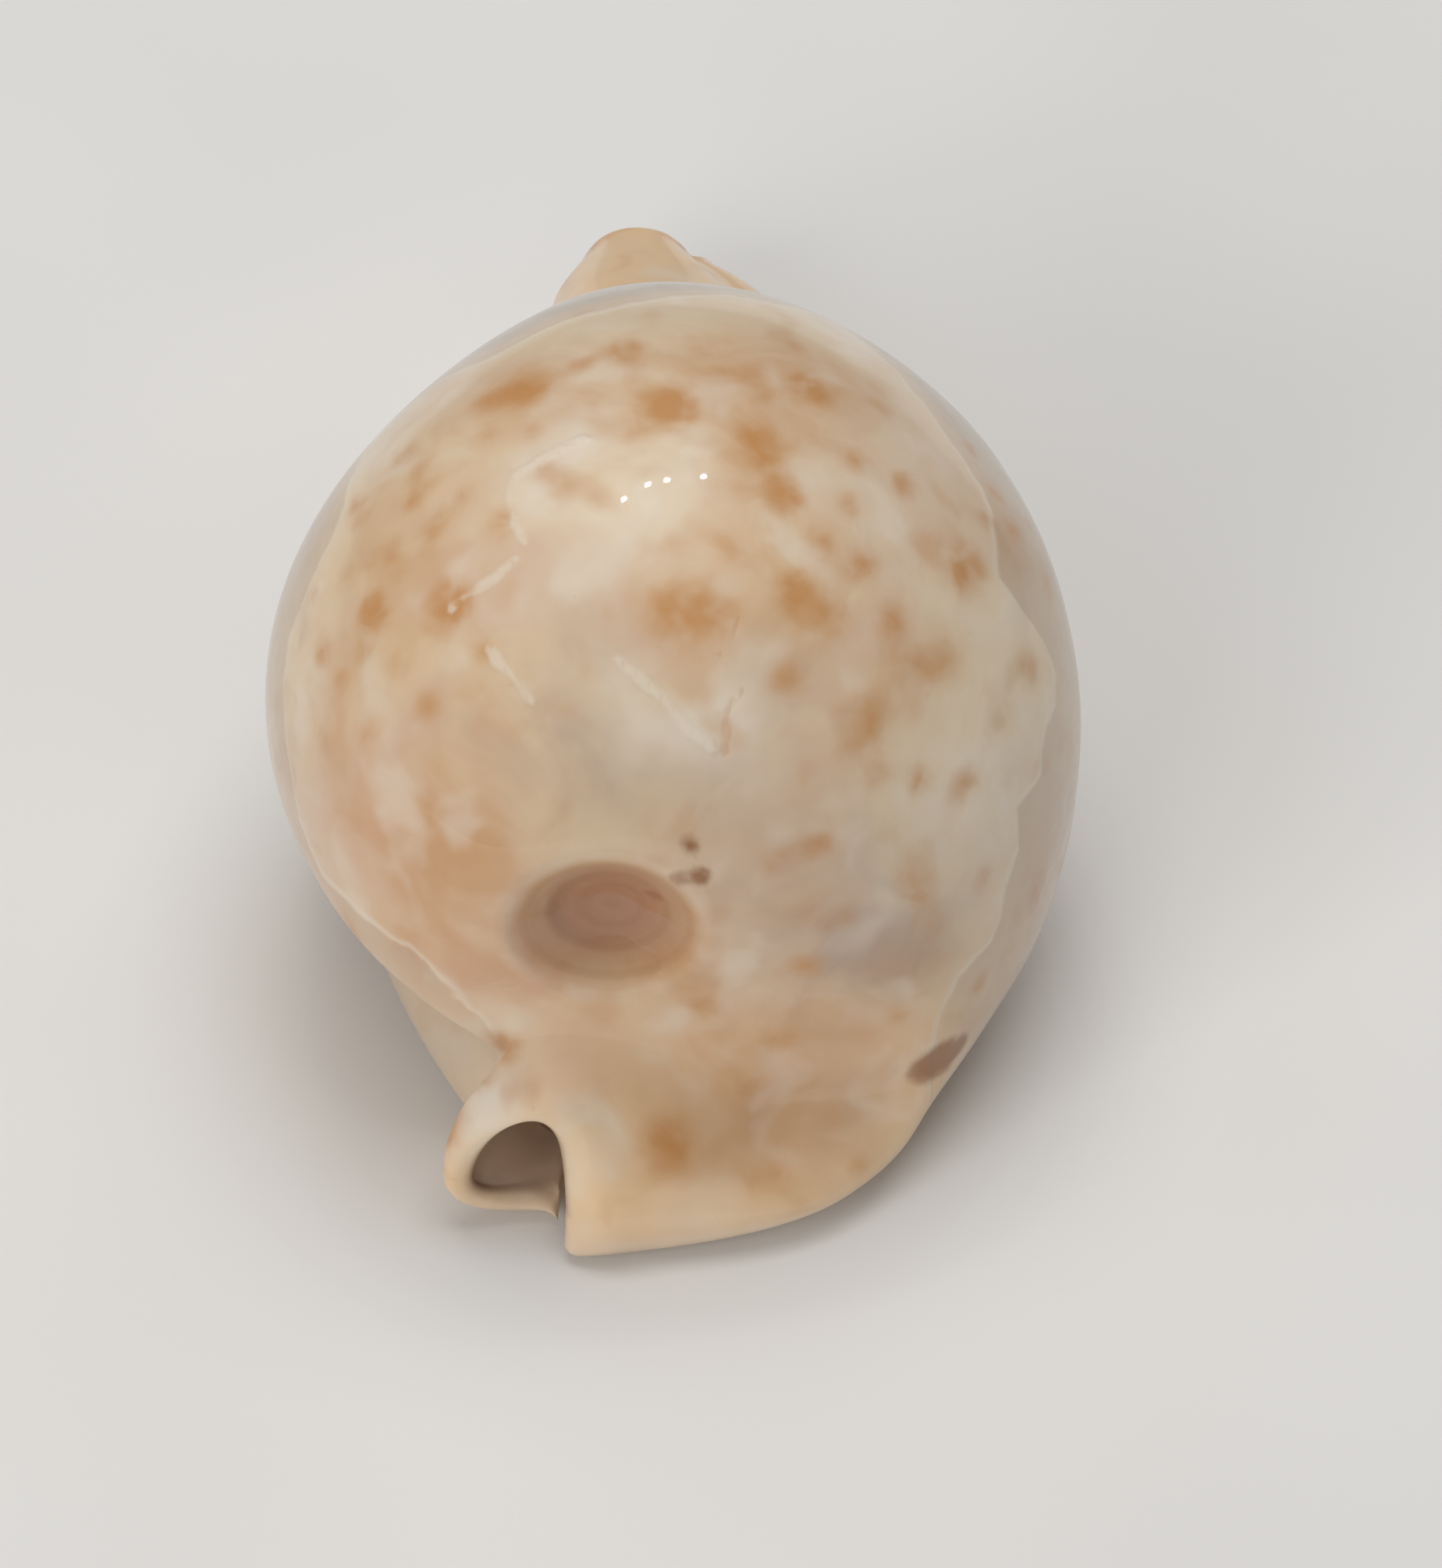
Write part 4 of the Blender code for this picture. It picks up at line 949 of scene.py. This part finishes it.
# Painted shade in part: besides the spire's own brown, the colour darkens towards the middle of the pit's
# bowl.
colour = blend(colour, SPIRE_BROWN_AND_SHADE, step_between(field("spire"), 1.1, 0.35, 0.0, 0.8))
whorls = tree.nodes.new("ShaderNodeMath")
whorls.operation = "SINE"
tree.links.new(sum_of("MULTIPLY", field("spire"), WHORL_WAVES), whorls.inputs[0])
in_pit = step_between(field("spire"), 1.2, 0.9, 0.0, WHORL_LINE_SHARE)
colour = blend(colour, MARK_BROWN, sum_of("MULTIPLY", step_between(whorls.outputs[0], 0.0, 1.0), in_pit))
colour = blend(colour, UNDER_CREAM, sum_of("MULTIPLY", field("under"), 0.6))
ragged_scar = sum_of("ADD", field("scar"), step_between(small, 0.2, 0.8, -0.2, 0.2))
colour = blend(colour, MILKY_WHITE, step_between(ragged_scar, 0.45, 0.05, 0.0, 0.5))
ragged_crack = sum_of("ADD", field("crack"), step_between(small, 0.2, 0.8, -0.3, 0.3))
colour = blend(colour, CLOUD_ORANGE, step_between(ragged_crack, 0.3, -0.1, 0.0, 0.35))
colour = blend(colour, CLOUD_ORANGE, step_between(fine, 0.7, 0.85, 0.0, 0.2))
colour = blend(colour, HOLLOW_BROWN, sum_of("MULTIPLY", field("inside"), 0.9))
tree.links.new(colour, surface.inputs["Base Color"])

roughness = step_between(small, 0.3, 0.8, LEAST_ROUGHNESS, MOST_ROUGHNESS)
tree.links.new(roughness, surface.inputs["Roughness"])
surface.inputs["Coat Weight"].default_value = COAT_SHARE
surface.inputs["Coat Roughness"].default_value = COAT_ROUGHNESS

# The relief: the step at the glaze's edge, the seams, soft ripples, a fine grain, the cracks, the whorls.
near_spire = step_between(field("spire"), 1.35, 1.0, 0.0, WHORL_RELIEF)
whorl_height = sum_of("MULTIPLY", whorls.outputs[0], near_spire)
height = step_between(ragged, -0.3, 0.3, EDGE_STEP, 0.0)
for part in (step_between(ragged_scar, 0.6, 0.05, 0.0, SEAM_HEIGHT),
             step_between(medium, 0.2, 0.8, 0.0, RIPPLE_HEIGHT),
             step_between(small, 0.2, 0.8, 0.0, GRAIN_HEIGHT),
             step_between(ragged_crack, 0.0, 0.3, -CRACK_DEPTH, 0.0),
             whorl_height):
    height = sum_of("ADD", height, part)
relief = tree.nodes.new("ShaderNodeBump")
relief.inputs["Strength"].default_value = RELIEF_STRENGTH
relief.inputs["Distance"].default_value = MM
tree.links.new(height, relief.inputs["Height"])
tree.links.new(relief.outputs["Normal"], surface.inputs["Normal"])

shell.data.materials.append(glaze)
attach(shell, "root")
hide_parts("shell")

# The floor is one pale sheet of painted board, matt and faintly uneven in tone, that the shell lies on.
# It is set a hair below the shell's foot, so that the two surfaces never fall together.
FLOOR_SIZE = 3.0
FLOOR_DROP = 0.0002
FLOOR_GRAIN = 40
FLOOR_ROUGHNESS = 0.8
FLOOR_COLOUR = (238, 236, 232)
FLOOR_SHADE = (231, 229, 225)
half_floor = FLOOR_SIZE / 2
floor_mesh = bpy.data.meshes.new("floor")
corners = [(-half_floor, -half_floor, 0), (half_floor, -half_floor, 0),
           (half_floor, half_floor, 0), (-half_floor, half_floor, 0)]
floor_mesh.from_pydata(corners, [], [(0, 1, 2, 3)])
floor = bpy.data.objects.new("floor", floor_mesh)
floor.location.z = -FLOOR_DROP
bpy.context.scene.collection.objects.link(floor)
board = bpy.data.materials.new("pale_board")
board.use_nodes = True
tree = board.node_tree
place = tree.nodes.new("ShaderNodeTexCoord").outputs["Object"]
paint = tree.nodes["Principled BSDF"]
tree.links.new(blend(FLOOR_COLOUR, FLOOR_SHADE, noise(FLOOR_GRAIN, 0)), paint.inputs["Base Color"])
paint.inputs["Roughness"].default_value = FLOOR_ROUGHNESS
floor.data.materials.append(board)

# The light: one wide soft panel overhead and a little in front, a weaker one from the camera's side,
# an even pale surround, and a short row of small bright lamps that make the bright dots in the glaze.
KEY_SIZE, KEY_PLACE, KEY_POWER = 0.6, (0.05, 0.15, 0.7), 2.9
FILL_SIZE, FILL_PLACE, FILL_POWER = 0.5, (-0.42, -0.55, 0.34), 2.4
LAMP_PLACES = [(-0.07, 0.17, 0.5), (-0.03, 0.195, 0.5), (0.002, 0.2, 0.5), (0.064, 0.205, 0.5)]
LAMP_SIZE, LAMP_POWER = 0.008, 0.03
AIM = (0, 0, 0.02)
SURROUND = (235, 235, 238)
SURROUND_STRENGTH = 0.26


def panel(name, size, at, power, mirrored):
    """A square lamp that faces the shell; one that isn't mirrored gives light but no bright patch."""
    lamp = bpy.data.lights.new(name, "AREA")
    lamp.size = size
    lamp.energy = power
    made = bpy.data.objects.new(name, lamp)
    made.location = at
    made.rotation_euler = (Vector(AIM) - Vector(at)).to_track_quat("-Z", "Y").to_euler()
    made.visible_glossy = mirrored
    bpy.context.scene.collection.objects.link(made)


panel("key", KEY_SIZE, KEY_PLACE, KEY_POWER, False)
panel("fill", FILL_SIZE, FILL_PLACE, FILL_POWER, False)
for number, at in enumerate(LAMP_PLACES):
    panel(f"lamp_{number}", LAMP_SIZE, at, LAMP_POWER, True)
world = bpy.data.worlds.new("surround")
world.use_nodes = True
background = world.node_tree.nodes["Background"]
background.inputs["Color"].default_value = linear(SURROUND)
background.inputs["Strength"].default_value = SURROUND_STRENGTH
bpy.context.scene.world = world
bpy.context.scene.view_settings.view_transform = "Standard"
